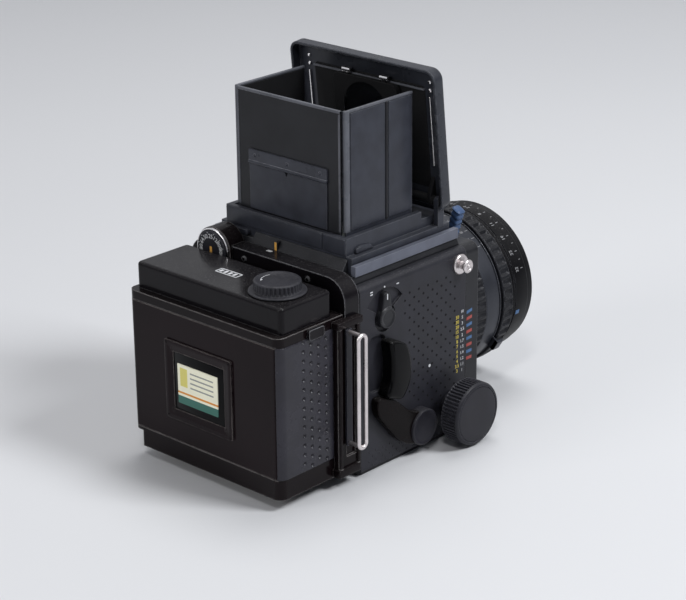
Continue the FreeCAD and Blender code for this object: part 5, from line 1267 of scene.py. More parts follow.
@dataclass(frozen=True)
class SideControls:
    """Mode lever, cocking lever, strap lugs, dots, marks and distance scales on the sides."""

    half: float = 54.5
    clear_x: float = 54.9
    mode_y: float = 25.0
    mode_z: float = 82.3
    mode_back: float = 53.4
    mode_face: float = 56.3
    cock_y: float = 0.6
    cock_z: float = 15.5
    hub_r: float = 9.8
    hub_face: float = 60.9
    arm_face: float = 59.5
    grip_face: float = 62.3
    lug_y: float = -32.8
    lug_z: float = 94.6
    bar_y: float = -41.2
    bar_low: float = 40.0
    bar_step: float = 3.7
    bar_half: float = 2.2
    feet: str = "3 3.5 4 5 6 7 8 10 15 20 30 50"
    metres: str = "1 1.1 1.2 1.4 1.5 1.7 2 2.5 3 5 10"

    def stamped(self, rows: Sequence[tuple[float, float]], y: Array, z: Array) -> Shell:
        """A small turned shape at many places of the cover.

        Args:
            rows: its radius and place from the cover's face, row by row.
            y: the places' y.
            z: the places' z.

        Returns:
            The shapes.
        """
        profile = [(r, w - self.half) for r, w in rows]
        shell = Shell()
        for a, b in zip(y, z):
            shell.rings(turned(Axis.X, a, b, profile, 10))
        return shell

    def dots(self) -> Shell:
        """Ringed hollows in two staggered lattices on the cover, clear of the controls.

        Returns:
            The hollows.
        """
        y, z = staggered(20.4, 7.1, 8, 90.0, 6.8, 12)
        keep = (y > -30) & (z > 15) & (np.hypot(y - self.mode_y, z - self.mode_z - 3) > 15)
        keep &= (np.hypot(y - self.cock_y, z - self.cock_z) > 12.5) & ~((y > 9.5) & (z < 77))
        keep &= (z - 24 > 1.2 * (y - 2)) & (np.hypot(y - self.lug_y, z - self.lug_z) > 7)
        rows = [(AXIS_R, -0.02), (0.34, -0.03), (0.48, -0.14), (0.6, -0.12), (0.68, 0.06)]
        return self.stamped(rows, y[keep], z[keep])

    def skirt_dots(self) -> Shell:
        """Small domes in staggered rows along the cover's foot.

        Returns:
            The domes.
        """
        y, z = staggered(37.0, 5.2, 13, 11.6, 5.0, 2)
        keep = np.hypot(y - self.cock_y, z - self.cock_z) > 11.5
        keep &= np.hypot(y - KNOB_Y, z - KNOB_Z) > 8.5
        return self.stamped([(0.55, 0.05), (0.5, -0.1), (0.28, -0.2), (AXIS_R, -0.22)], y[keep], z[keep])

    def mode_lever(self) -> Shell:
        """Dished hub with a tapering pointer that ends in a round nose.

        Returns:
            The lever.
        """
        y, z, f, b = self.mode_y, self.mode_z, self.mode_face, self.mode_back
        hub = [(AXIS_R, -f - 0.2), (3.6, -f - 0.2), (4.2, -f - 0.6), (5.1, -f - 0.7), (5.6, -f - 0.2),
               (5.6, -b), (AXIS_R, -b)]
        outline = rounded_polygon([(y - 4.6, z - 1), (y + 4.6, z - 1), (y + 2.1, z + 13.7),
                                   (y - 2.1, z + 13.7)], 2.0)
        return Shell().rings(turned(Axis.X, y, z, hub, 48)).rings(slab(Axis.X, outline, -b, -f, 0.7))

    def cocking_arm(self) -> Shell:
        """Broad arm from the hub to the grip, with rounded edges.

        Returns:
            The arm.
        """
        y, z = self.cock_y, self.cock_z
        corners = [(y - 5.5, z + 7.2), (y - 2, z - 9.2), (12, z - 6.5), (20.0, 14.5), (36.0, 33.5),
                   (35.6, 43.0), (22.5, 38.0), (9.5, z + 11)]
        outline = rounded_polygon(corners, 4.5, 7)
        return Shell().rings(slab(Axis.X, outline, -self.clear_x, -self.arm_face, 0.8, 0.3))

    def cocking_hub(self) -> Shell:
        """Hub cap of the cocking lever: a shallow dish inside a rounded rim.

        Returns:
            The hub.
        """
        f, r, b = -self.hub_face, self.hub_r, -self.clear_x
        rows = [(AXIS_R, f + 0.5), (r - 2.2, f + 0.5), (r - 1.5, f + 0.2), (r - 0.9, f), (r - 0.3, f + 0.2),
                (r, f + 0.7), (r, b), (AXIS_R, b)]
        return Shell().rings(turned(Axis.X, self.cock_y, self.cock_z, rows, 64))

    def grip(self) -> Shell:
        """Curved finger grip with a broad rounded edge.

        Returns:
            The grip.
        """
        corners = [(20.0, 37.4), (31.5, 42.2), (27.6, 50.0), (27.2, 60.0), (29.2, 72.3), (21.5, 70.6),
                   (15.0, 66.2), (12.4, 57.0), (12.8, 47.0), (16.5, 40.4)]
        outline = rounded_polygon(corners, 3.2, 6)
        return Shell().rings(slab(Axis.X, outline, -self.clear_x, -self.grip_face, 1.9, 0.3))

    def lugs(self) -> Shell:
        """Mushroom shaped studs on both sides.

        Returns:
            The studs.
        """
        rows = [(AXIS_R, 0.0), (5.4, 0.0), (5.4, 1.0), (4.9, 1.6), (3.2, 1.9), (2.3, 2.2), (2.2, 4.4),
                (2.6, 4.9), (3.5, 5.2), (3.6, 5.9), (3.1, 6.4), (2.0, 6.5), (1.7, 6.2), (1.1, 6.2),
                (0.9, 6.8), (AXIS_R, 6.8)]
        rows = [(r, self.half + w) for r, w in rows]
        return both(turned(Axis.X, self.lug_y, self.lug_z, rows, 40))

    def outward(self, y: float, z: float, points: Array, x: float | None = None) -> Array:
        """Flat points laid on the right side so that they read from outside."""
        return on_plane((-(x or self.half), y, z), (0, -1, 0), (0, 0, 1), points)

    def flat(self, outline: Array, y: float, z: float, x: float | None = None) -> Shell:
        """A thin printed shape on the right side."""
        return Shell().rings(slab(Axis.Z, outline, 0.0, 0.07, 0.02)).moved(lambda p: self.outward(y, z, p, x))

    def white_marks(self) -> Shell:
        """Mode marks and the dot above the knob.

        Returns:
            The marks.
        """
        dot = rounded_rect(-0.55, 0.55, -0.55, 0.55, 0.54, 4)
        bar = rounded_rect(-0.95, 0.95, -0.3, 0.3, 0.2, 3)
        shell = Shell()
        for outline, y, z in ((dot * 1.5, -9.5, 45.1), (dot * 0.9, 25.2, 98.6), (bar, 34.9, 96.9),
                              (bar, 34.9, 98.2), (bar, 15.4, 97.6)):
            shell.join(self.flat(outline, y, z))
        return shell

    def mode_index(self) -> Shell:
        """White line on the pointer of the mode lever."""
        line = rounded_rect(-0.35, 0.35, -1.6, 1.6, 0.3, 3)
        return self.flat(line, self.mode_y, self.mode_z + 11.3, self.mode_face - 0.03)

    def figures(self, words: str, y: float, low: float, step: float, height: float) -> Shell:
        """A column of plain figures on the right side.

        Args:
            words: the figures from the lowest up.
            y: place of the column.
            low: height of the lowest figure above the base.
            step: from one figure to the next.
            height: height of each figure.

        Returns:
            The figures.
        """
        shell = Shell()
        for i, text in enumerate(words.split()):
            points, faces = lettering(text, height)
            shell.add(self.outward(y, low + step * i, points), faces)
        return shell

    def bars(self, first: int) -> Shell:
        """Every other exposure bar on the side of the front standard; each slopes more than the last.

        Args:
            first: number of the first bar, 0 or 1.

        Returns:
            The bars.
        """
        shell, h = Shell(), self.bar_half
        for k in range(first, 8, 2):
            outline = np.array([(-h, -1.0), (h, -1.0 + 0.1 * k), (h, 0.7 + 0.1 * k), (-h, 0.7)])
            shell.join(self.flat(outline, self.bar_y, self.bar_low + self.bar_step * k))
        return shell

    def dress(self) -> None:
        """Build and place the controls and marks."""
        Piece("mode_lever_turned", "mode", "satin_black", SATIN, ("mode_lever",)).build(self.mode_lever())
        Piece("cocking_arm", "cocking", "plastic_gloss", LEVER_COAT,
              ("cocking_lever",)).build(self.cocking_arm())
        Piece("cocking_hub", "cocking", "satin_black", KNOB_FACE_COAT).build(self.cocking_hub())
        Piece("cocking_grip", "cocking", "plastic_gloss", GLOSS_PLASTIC).build(self.grip())
        Piece("strap_studs", "body", "bright", STUD, ("strap_lugs",)).build(self.lugs())
        Piece("mode_marks", "body", "card", WHITE_INK).build(self.white_marks())
        Piece("mode_index", "mode", "card", WHITE_INK).build(self.mode_index())
        # The hollows are near black: painted shade in the small holes of the cover.
        Piece("side_dots", "body", "satin_black", LENS_INNER).build(self.dots())
        Piece("skirt_dots", "body", "satin_black", SIDE_COAT).build(self.skirt_dots())
        Piece("scale_yellow", "body", "card", YELLOW_INK).build(
            self.figures(self.feet, -31.6, 35.0, 2.75, 1.9))
        Piece("scale_white", "body", "card", WHITE_INK).build(
            self.figures(self.metres, -35.6, 34.6, 3.3, 1.7))
        Piece("bars_red", "standard", "card", RED_INK).build(self.bars(0))
        Piece("bars_blue", "standard", "card", BLUE_INK).build(self.bars(1))


@dataclass(frozen=True)
class FocusKnobs:
    """The two ribbed focusing knobs and the left side's dial."""

    r: float = 17.1
    hub_r: float = 7.0
    root: float = 54.8
    inner: float = 63.0
    face: float = 74.2
    rib_depth: float = 0.7
    dial_y: float = -14.0
    dial_z: float = 80.0
    dial_r: float = 17.0
    grip_r: float = 12.3
    figure_r: float = 14.55
    figure_x: float = 4.78
    skirt: tuple[float, float] = (1.5, 4.3)
    speeds: str = "1 2 4 8 15 30 60 125 250 500"

    def knob(self) -> Shell:
        """Ribbed rim, rounded front edge and a face with a shallow step.

        Returns:
            The left knob.
        """
        f, r = self.face, self.r
        rows = [(AXIS_R, self.root), (self.hub_r, self.root), (self.hub_r, self.inner), (r - 0.8, self.inner)]
        rows += smooth_steps([(r, self.inner + 0.6), (r, f - 1.4)], 12)
        rows += [(r - 0.2, f - 0.9), (r - 0.6, f - 0.35), (r - 1.2, f), (r - 1.9, f), (r - 2.1, f - 0.5),
                 (AXIS_R, f - 0.5)]
        ribs = Ribs(56, self.rib_depth, self.inner + 0.8, f - 1.3, 12.0)
        return Shell().rings(turned(Axis.X, KNOB_Y, KNOB_Z, rows, ribs.count * 8, ribs))

    def knob_face(self) -> Shell:
        """Lighter disc in the knob's face, slightly dished.

        Returns:
            The left knob's disc.
        """
        f, r = self.face, self.r - 2.2
        rows = [(r, f - 0.6), (r, f - 0.25), (r - 0.3, f - 0.05), (r - 0.8, f), (8.0, f - 0.1),
                (AXIS_R, f - 0.14)]
        return Shell().rings(turned(Axis.X, KNOB_Y, KNOB_Z, rows))

    def dial(self) -> Shell:
        """Shutter speed dial: ribbed skirt with a raised grip.

        Returns:
            The dial.
        """
        x, r, g = self.root, self.dial_r, self.grip_r
        rows = [(AXIS_R, x), (r - 0.5, x)] + smooth_steps([(r, x + 0.6), (r, x + 3.6)], 5)
        rows += [(r - 0.3, x + 4.0), (r - 4.6, x + 5.5), (g, x + 5.6), (g - 0.1, x + 7.6), (g - 0.9, x + 8.4),
                 (g - 1.9, x + 8.5), (AXIS_R, x + 8.3)]
        ribs = Ribs(36, self.rib_depth, x + 0.5, x + 3.9, 16.0)
        return Shell().rings(turned(Axis.X, self.dial_y, self.dial_z, rows, ribs.count * 8, ribs))

    def dial_figures(self) -> Shell:
        """Plain speeds round the dial's sloping skirt.

        Returns:
            The figures.
        """
        shell = Shell()
        slope = math.atan2(*self.skirt)
        middle = np.array([self.root + self.figure_x, self.dial_y, self.dial_z])
        for i, text in enumerate(self.speeds.split()):
            points, faces = lettering(text, 2.3)
            a = math.radians(90 - i * 30)
            out = np.array([0, math.cos(a), math.sin(a)])
            side = np.array([0, math.sin(a), -math.cos(a)])
            up = out * math.cos(slope) + np.array([-1, 0, 0]) * math.sin(slope)
            shell.add(on_plane(middle + out * self.figure_r, side, up, points), faces)
        return shell

    def dress(self) -> None:
        """Build and place the knobs and the dial."""
        for side, turn in (("left", np.asarray), ("right", mirror_x)):
            Piece(f"focus_knob_{side}_ribbed", "focus_drive", "plastic_black", MATT_PLASTIC,
                  (f"focusing_knob_{side}",)).build(self.knob().moved(turn))
            Piece(f"focus_knob_{side}_face", "focus_drive", "satin_black",
                  KNOB_FACE_COAT).build(self.knob_face().moved(turn))
        Piece("shutter_dial_ribbed", "shutter_speed", "plastic_black", MATT_PLASTIC,
              ("shutter_dial",)).build(self.dial())
        Piece("shutter_dial_figures", "shutter_speed", "card", WHITE_INK).build(self.dial_figures())


@dataclass(frozen=True)
class Lens:
    """Turned rings, barrel and figures of the lens, the standard's fittings and the bellows.

    The bayonet and aperture fields hold a ring's radius, front, rear, number of ribs and their depth.
    """

    axis_z: float = 54.8
    tube_r: float = 38.0
    bore: float = 33.0
    band_r: float = 43.5
    front_r: float = 42.5
    thread_r: float = 38.55
    front: float = -111.8
    front_root: float = -91.3
    tube_root: float = -40.5
    band: tuple[float, float] = (-79.8, -70.0)
    preview: tuple[float, float] = (-82.0, -81.15)
    bayonet: tuple[float, float, float, int, float] = (44.5, -69.0, -48.3, 56, 0.95)
    aperture: tuple[float, float, float, int, float] = (45.0, -91.0, -82.3, 48, 1.1)
    tab_deg: float = 28.0
    preview_deg: float = 122.0
    index_deg: float = 103.0
    stop_y: float = -99.4
    stop_deg: float = -8.0
    stop_step: float = 13.0
    depth_y: float = -74.2
    depth_deg: float = 22.0
    stop_texts: str = "3.8 5.6 8 11 16 22 32"
    depth_texts: str = "8 16 32"
    text_height: float = 2.2

    def spun(self, rows: Sequence[tuple[float, float]], around: int, ribs: Ribs | None = None) -> Array:
        """A profile turned about the lens axis."""
        return turned(Axis.Y, 0, self.axis_z, rows, around, ribs)

    def ring(self, outer: float, y0: float, y1: float, count: int, depth: float) -> Shell:
        """A ribbed ring round the tube.

        Args:
            outer: outer radius.
            y0: front face.
            y1: rear face.
            count: number of ribs.
            depth: depth of the grooves.

        Returns:
            The ring.
        """
        i = self.tube_r + 0.1
        rim = smooth_steps([(outer, y0 + 1.3), (outer, y1 - 1.3)], 8)
        rows = [(i, y0), (outer - 1.2, y0), (outer - 0.5, y0 + 0.25), (outer - 0.1, y0 + 0.8)] + rim
        rows += [(outer - 0.1, y1 - 0.8), (outer - 0.5, y1 - 0.25), (outer - 1.2, y1), (i, y1)]
        ribs = Ribs(count, depth, y0 + 1.0, y1 - 1.0, outer - 0.3, 2.2)
        return Shell().rings(self.spun(rows, count * 8, ribs), True)

    def lock_tab(self) -> Shell:
        """Finger tab, inset by 0.6 (1 - |sin|) of its height so that ridges run round it.

        Returns:
            The tab.
        """
        v = np.linspace(43.0, 61.4, 70)
        inset = np.where(v > 47, 0.6 * (1 - np.abs(np.sin(math.pi * (v - 47) / 3.2))), 0.0)
        rows = np.concatenate([np.stack([inset, v], -1), [(0.7, 61.9), (1.3, 62.1)]])
        rings = carried(Axis.Z, rounded_rect(-3.0, 3.0, -67.5, -61.5, 1.6, 4), rows)
        rings[..., 0] += 0.2 * (rings[..., 2] - 52)
        return Shell().rings(rings).moved(lambda p: about_lens(p, self.tab_deg, self.axis_z))

    def preview_ring(self) -> Shell:
        """Depth of field ring with a small rounded finger tab that reaches over the next ring.

        Returns:
            The ring and its tab.
        """
        y0, y1 = self.preview
        tab = Shell()
        for low, front, edge in ((42.0, y0, 0.3), (45.3, y0 - 4.6, 1.0)):
            outline = rounded_rect(-3.6, 3.6, low, 47.7, 1.15, 5)
            tab.rings(slab(Axis.Y, outline, y1, front, edge, 0.3))
        tab.moved(lambda p: about_lens(p, self.preview_deg, self.axis_z))
        i, r = self.tube_r + 0.1, self.band_r
        rows = [(i, y0), (r - 0.3, y0), (r, y0 + 0.2), (r, y1 - 0.2), (r - 0.3, y1), (i, y1)]
        return tab.rings(self.spun(rows, 160), True)

    def barrel(self) -> Shell:
        """Rear tube with the smooth band between the ribbed rings; the band swells by 0.12 sin t.

        Returns:
            The tube.
        """
        r, tube, end = self.band_r, self.tube_r, self.tube_root
        y0, y1 = self.band
        rows = [(self.bore, -89.0), (tube - 0.2, -91.2), (tube, -90.8), (tube, y0 - 1.3),
                (r - 0.6, y0 - 1.0), (r - 0.1, y0 - 0.6), (r, y0)]
        rows += [(r + 0.12 * math.sin(t), y0 + (y1 - y0) * t / math.pi) for t in np.linspace(0.3, 2.9, 8)]
        rows += [(r, y1), (r - 0.1, y1 + 0.3), (r - 0.6, y1 + 0.6), (tube, y1 + 0.7), (tube, end - 0.5),
                 (tube - 0.4, end), (self.bore, end)]
        return Shell().rings(self.spun(rows, 160), True)

    def front_barrel(self) -> Shell:
        """Front part with a groove, a step, the filter thread and the cone inside.

        Returns:
            The front part.
        """
        f, b, r = self.front, self.front_root, self.front_r
        thread = [(self.thread_r + 0.22 * math.cos(FULL_TURN * k / 4), f + 0.5 + k * 0.19) for k in range(23)]
        rows = [(29.0, b), (r - 0.6, b), (r - 0.1, b - 0.4), (r, b - 1.0), (r, b - 3.7), (r - 0.5, b - 4.0),
                (r - 0.5, b - 4.7), (r, b - 5.0), (r, f + 5.8), (r - 0.2, f + 5.3), (r - 0.8, f + 4.7),
                (r - 1.0, f + 4.2), (r - 1.0, f + 0.8), (r - 1.3, f + 0.25), (r - 1.9, f), (r - 3.2, f)]
        rows += thread + [(38.3, f + 5.0), (37.0, f + 5.0), (36.2, f + 5.3), (34.0, f + 6.3), (33.8, f + 6.9),
                          (31.4, f + 7.9), (31.2, f + 8.5), (29.2, f + 9.5), (29.0, f + 10.0)]
        return Shell().rings(self.spun(rows, 192), True)

    def around(self, text: str, r: float, y: float, degrees: float) -> tuple[Array, list[list[int]]]:
        """Figures bent round the barrel: u becomes an angle u / r, v a place along the lens.

        Args:
            text: the figures.
            r: radius of the barrel.
            y: place along the lens.
            degrees: angle from the top towards -X.

        Returns:
            Points and faces.
        """
        points, faces = lettering(text, self.text_height)
        a = math.radians(degrees) - points[:, 0] / r
        rr = r + points[:, 2]
        return np.stack([-rr * np.sin(a), y - points[:, 1], self.axis_z + rr * np.cos(a)], -1), faces

    def tick(self, r: float, y0: float, y1: float, degrees: float, width: float) -> Array:
        """A short printed line along the lens.

        Args:
            r: radius that it lies on.
            y0: its front end.
            y1: its rear end.
            degrees: angle from the top towards -X.
            width: its width.

        Returns:
            The line's rings.
        """
        outline = rounded_rect(-width / 2, width / 2, r - 0.2, r + 0.07, 0.03, 2)
        rings = slab(Axis.Y, outline, y0, y1, 0.02, 0.02)
        return about_lens(rings.reshape(-1, 3), degrees, self.axis_z).reshape(rings.shape)

    def stops(self) -> Shell:
        """Plain stop numbers on the front barrel, and ticks at and between them.

        Returns:
            The numbers and ticks.
        """
        shell = Shell()
        r, y, first, step = self.front_r, self.stop_y, self.stop_deg, self.stop_step
        texts = self.stop_texts.split()
        for i, text in enumerate(texts):
            shell.add(*self.around(text, r, y, first + step * i))
        for i in range(2 * len(texts) - 1):
            shell.rings(self.tick(r, y - 4.8, y - 3.0 - 0.6 * (i % 2), first + step / 2 * i, 0.35))
        return shell

    def depth_marks(self) -> Shell:
        """Index line and paired depth marks on the smooth band.

        Returns:
            The lines and numbers.
        """
        r, y, middle = self.band_r + 0.1, self.depth_y, self.depth_deg
        shell = Shell().rings(self.tick(r + 0.02, y - 4.8, y + 2.8, middle, 0.6))
        for i, text in enumerate(self.depth_texts.split()):
            for s in (-1, 1):
                a = middle + s * (7.0 + 7.5 * i)
                shell.rings(self.tick(r, y - 5.0, y - 2.6, a, 0.35))
                shell.add(*self.around(text, r, y, a))
        return shell

    def index(self) -> Shell:
        """Broad index line on the front barrel."""
        return Shell().rings(self.tick(self.front_r + 0.05, -100.0, -97.0, self.index_deg, 2.4))

    def screws(self) -> Shell:
        """Screws at the corners of the standard.

        Returns:
            The screws.
        """
        head = [(AXIS_R, -48.9), (1.2, -48.9), (1.9, -48.6), (2.0, -48.2), (2.0, -47.7), (AXIS_R, -47.7)]
        shell = Shell()
        for x in (-48.5, 48.5):
            for z in (31.0, 96.0):
                shell.rings(turned(Axis.Y, x, z, head, 20))
        return shell

    def release(self) -> Shell:
        """Release button with a dished face, and its collar.

        Returns:
            The button.
        """
        rows = [(AXIS_R, -52.0), (2.8, -52.0), (3.6, -52.5), (4.1, -52.2), (4.2, -51.6), (4.2, -43.2),
                (AXIS_R, -43.2)]
        return Shell().rings(turned(Axis.Y, -44.0, 14.0, rows, 40))

    def bellows(self) -> Shell:
        """Pleats as a zigzag of inset against depth, outside and inside, carried round a square.

        Returns:
            The pleats, in mm.
        """
        pleats, cloth = 9, 0.55
        y = np.linspace(-30.4, -37.8, pleats * 2 + 1)
        inset = np.where(np.arange(len(y)) % 2 == 0, 3.8, 0.3)
        outer = np.stack([inset, y], -1)
        inner = np.stack([inset + cloth, y], -1)[::-1]
        outline = rounded_rect(-44.8, 44.8, 15.2, 97.8, 5.0, 5)
        return Shell().rings(carried(Axis.Y, outline, np.concatenate([outer, inner])), True)

    def dress(self) -> None:
        """Build and place every piece of the lens and standard."""
        Piece("bayonet_ring_ribbed", "bayonet", "satin_black", LENS_RING,
              ("bayonet_ring",)).build(self.ring(*self.bayonet))
        Piece("bayonet_tab_blue", "bayonet", "plastic_black", BLUE_TAB).build(self.lock_tab())
        Piece("preview_ring_and_tab", "preview", "satin_black", LENS_BLACK,
              ("preview_ring", "preview_tab")).build(self.preview_ring())
        Piece("lens_band", "standard", "satin_black", LENS_BLACK,
              ("lens_rear_barrel",)).build(self.barrel())
        Piece("aperture_ring_ribbed", "aperture", "satin_black", LENS_RING,
              ("aperture_ring",)).build(self.ring(*self.aperture))
        Piece("front_barrel_stepped", "standard", "satin_black", LENS_FRONT,
              ("lens_front_barrel",)).build(self.front_barrel())
        Piece("stop_numbers", "standard", "card", DIM_INK).build(self.stops())
        Piece("depth_marks", "standard", "card", DIM_INK).build(self.depth_marks())
        Piece("barrel_index", "standard", "card", BLUE_INK).build(self.index())
        Piece("standard_screws", "standard", "steel", STEEL).build(self.screws())
        Piece("release_button_dished", "release", "bright", BRIGHT,
              ("release_button",)).build(self.release())
        folds = Piece("bellows_pleats", "body", "bellows_cloth", CLOTH, ("bellows",),
                      stays=False).build(self.bellows())
        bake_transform(folds)


@dataclass(frozen=True)
class FilmBack:
    """Memo frame and card, winding knob, film speed dial and marks of the film back."""

    rear: float = 99.6
    wall: float = 53.0
    corner_y: float = 95.1
    corner_r: float = 4.5
    guide_x: float = 56.2
    memo: tuple[float, float, float, float] = (-21.4, 26.4, 29.5, 72.5)
    border: float = 6.0
    card: tuple[float, float, float, float] = (-11.0, 17.6, 39.6, 61.0)
    spool_x: float = -32.6
    spool_y: float = 78.5
    knob_r: float = 11.9
    knob_top: float = 112.3
    flange_r: float = 14.5
    deck: float = 105.8
    dial_x: float = 34.7
    dial_z: float = 105.8
    dial_y: float = 56.4
    dial_r: float = 10.0
    dial_high: float = 2.0
    speeds: str = "25 50 64 80 100 125 160 200 320 400 800 12"

    def side_panel(self) -> Shell:
        """Dimpled sheet on the right wall that wraps round the rear corner.

        Returns:
            The sheet.
        """
        x, r, count = self.wall, self.corner_r, 111
        t = np.linspace(0, math.radians(66), 18)
        bend = np.stack([-np.cos(t), np.sin(t)], -1)
        y = np.linspace(62.0, self.corner_y, count + 1)[:-1]
        path = np.concatenate([np.stack([np.full(count, -x), y], -1), [r - x, self.corner_y] + r * bend])
        out = np.concatenate([np.tile([-1.0, 0.0], (count, 1)), bend])
        i, j = np.meshgrid(np.arange(4), np.arange(14), indexing="ij")
        pits = np.stack([5.2 + 5.3 * i, 19.4 + 4.95 * j + 2.4 * (i % 2)], -1).reshape(-1, 2)
        return Shell().rings(dimpled(path, out, np.linspace(17.3, 87.0, 260), 0.8, pits, 1.15, 1.0))

    def guide_trim(self) -> Shell:
        """Caps and long ribs of the frame that the dark slide passes through.

        Returns:
            The caps and ribs.
        """
        shell = Shell()
        x = self.guide_x
        for y0, y1, z0, z1, rise, low in ((44.4, 62.6, 86.5, 90.3, 1.6, self.wall),
                                          (46.6, 62.6, 6.8, 11.4, 1.6, self.wall),
                                          (46.0, 48.4, 11.0, 87.0, 1.1, x - 0.2),
                                          (58.9, 61.2, 11.0, 87.0, 1.1, x - 0.2)):
            shell.rings(slab(Axis.X, rounded_rect(y0, y1, z0, z1, 0.9, 4), -low, -x - rise, 0.7))
        return shell

    def memo_frame(self) -> Shell:
        """Frame whose border slopes in to the card's window.

        Returns:
            The frame.
        """
        y, b = self.rear, self.border
        rows = [(0, y), (0, y + 0.8), (0.15, y + 1.08), (0.5, y + 1.2), (2.2, y + 1.2), (2.7, y + 1.05),
                (b - 0.6, y + 0.55), (b - 0.1, y + 0.45), (b, y)]
        return Shell().rings(carried(Axis.Y, rounded_rect(*self.memo, 1.6, 5), np.array(rows)), True)

    def memo_plate(self) -> Shell:
        """Dark plate behind the card.

        Returns:
            The plate.
        """
        x0, x1, z0, z1 = self.memo
        b = self.border - 0.5
        outline = rounded_rect(x0 + b, x1 - b, z0 + b, z1 - b, 0.8, 3)
        return Shell().rings(slab(Axis.Y, outline, self.rear, self.rear + 0.2, 0.05))

    def memo_card(self) -> Shell:
        """Card, a little smaller than the window."""
        outline = rounded_rect(*self.card, 0.4, 2)
        return Shell().rings(slab(Axis.Y, outline, self.rear + 0.1, self.rear + 0.62, 0.08))

    def wind_knob(self) -> Shell:
        """Flange, ribbed rim and a face that dips towards its middle.

        Returns:
            The knob.
        """
        z0, r, s, top = self.deck + 0.3, self.knob_r, self.flange_r, self.knob_top
        rim = smooth_steps([(r, z0 + 1.4), (r, top - 0.9)], 6)
        rows = [(AXIS_R, z0), (s - 0.4, z0), (s, z0 + 0.3), (s - 0.1, z0 + 0.8), (s - 0.6, z0 + 1.0),
                (r - 0.1, z0 + 1.1)] + rim
        rows += [(r - 0.2, top - 0.45), (r - 0.6, top - 0.1), (r - 1.1, top), (r - 1.9, top - 0.05),
                 (r - 2.3, top - 0.3), (4.0, top - 0.5), (AXIS_R, top - 0.55)]
        ribs = Ribs(36, 0.7, z0 + 1.3, top - 0.7, 11.0)
        return Shell().rings(turned(Axis.Z, self.spool_x, self.spool_y, rows, ribs.count * 8, ribs))

    def wind_arrow(self) -> Shell:
        """Curved arrow on the knob's face: a bent band and a triangle.

        Returns:
            The arrow.
        """
        a = np.linspace(math.radians(-18), math.radians(38), 16)
        arc = np.stack([np.cos(a), np.sin(a)], -1)
        tip = a[-1]
        head = np.array([(r * math.cos(t), r * math.sin(t)) for r, t in
                         ((7.0, tip), (9.9, tip), (8.45, tip + 0.26))])
        rows = np.array([(0, self.knob_top - 0.6), (0, self.knob_top - 0.35)])
        shell = Shell()
        for outline in (np.concatenate([9.0 * arc, 7.9 * arc[::-1]]), head):
            shell.rings(carried(Axis.Z, outline + np.array([self.spool_x, self.spool_y]), rows))
        return shell

    def speed_dial(self) -> Shell:
        """Disc with a fine milled edge.

        Returns:
            The disc.
        """
        y, r, top = self.dial_y, self.dial_r, self.dial_y + self.dial_high
        rim = smooth_steps([(r, y + 0.3), (r, top - 0.5)], 3)
        rows = [(AXIS_R, y), (r - 0.2, y)] + rim + [(r - 0.4, top - 0.1), (r - 0.9, top), (AXIS_R, top)]
        ribs = Ribs(48, 0.3, y + 0.2, top - 0.3, 9.0)
        return Shell().rings(turned(Axis.Y, self.dial_x, self.dial_z, rows, ribs.count * 6, ribs))

    def dial_ring(self) -> Shell:
        """Bright ring round the dial.

        Returns:
            The ring.
        """
        y, r = self.dial_y, self.dial_r + 0.25
        rows = [(r, y - 0.3), (r, y + 0.9), (r + 0.25, y + 1.15), (r + 0.65, y + 1.1), (r + 0.9, y + 0.8),
                (r + 0.95, y - 0.3)]
        return Shell().rings(turned(Axis.Y, self.dial_x, self.dial_z, rows), True)

    def on_dial(self, points: Array, degrees: float) -> Array:
        """Flat points laid on the dial's face and turned about its middle."""
        middle = (self.dial_x, self.dial_y + self.dial_high, self.dial_z)
        return on_plane(middle, (-1, 0, 0), (0, 0, 1), points, degrees)

    def dial_figures(self) -> Shell:
        """Plain film speeds round the dial, and a tick after each.

        Returns:
            The figures and ticks.
        """
        step, figure_r = 30.0, 7.2
        tick = slab(Axis.Z, rounded_rect(-0.2, 0.2, 8.7, 9.3, 0.1, 2), 0.0, 0.06, 0.02)
        shell = Shell()
        for i, text in enumerate(self.speeds.split()):
            points, faces = lettering(text, 2.3)
            shell.add(self.on_dial(points + np.array([0, figure_r, 0]), step * i), faces)
            shell.rings(self.on_dial(tick.reshape(-1, 3), step * (i + 0.5)).reshape(tick.shape))
        return shell

    def dial_mark(self) -> Shell:
        """Bar in the middle of the dial.

        Returns:
            The bar.
        """
        x, y, z = self.dial_x, self.dial_y + self.dial_high, self.dial_z
        outline = rounded_rect(x - 0.8, x + 0.8, z - 2.2, z + 1.8, 0.4, 3)
        return Shell().rings(slab(Axis.Y, outline, y - 0.05, y + 0.1, 0.03))

    def housing_marks(self) -> Shell:
        """Thin box and bars on the housing, and the index dots.

        Returns:
            The marks.
        """
        low, high = self.deck - 0.05, self.deck + 0.06
        rows = np.array([(0, low), (0, high), (0.65, high), (0.65, low)])
        shell = Shell().rings(carried(Axis.Z, rounded_rect(-4.0, 11.0, 73.4, 78.8, 0.8, 4), rows), True)
        for x in (-1.5, 1.6, 4.7, 7.8):
            shell.rings(slab(Axis.Z, rounded_rect(x, x + 1.7, 74.7, 77.5, 0.25, 2), low, high, 0.02))
        dot = [(AXIS_R, 56.9), (0.55, 56.9), (0.5, 57.75), (AXIS_R, 57.8)]
        shell.rings(turned(Axis.Y, self.dial_x, self.dial_z + 10.85, dot, 12))
        return shell.rings(slab(Axis.Z, rounded_rect(2.8, 6.4, 45.4, 47.2, 0.3, 3), 108.95, 109.08, 0.03))

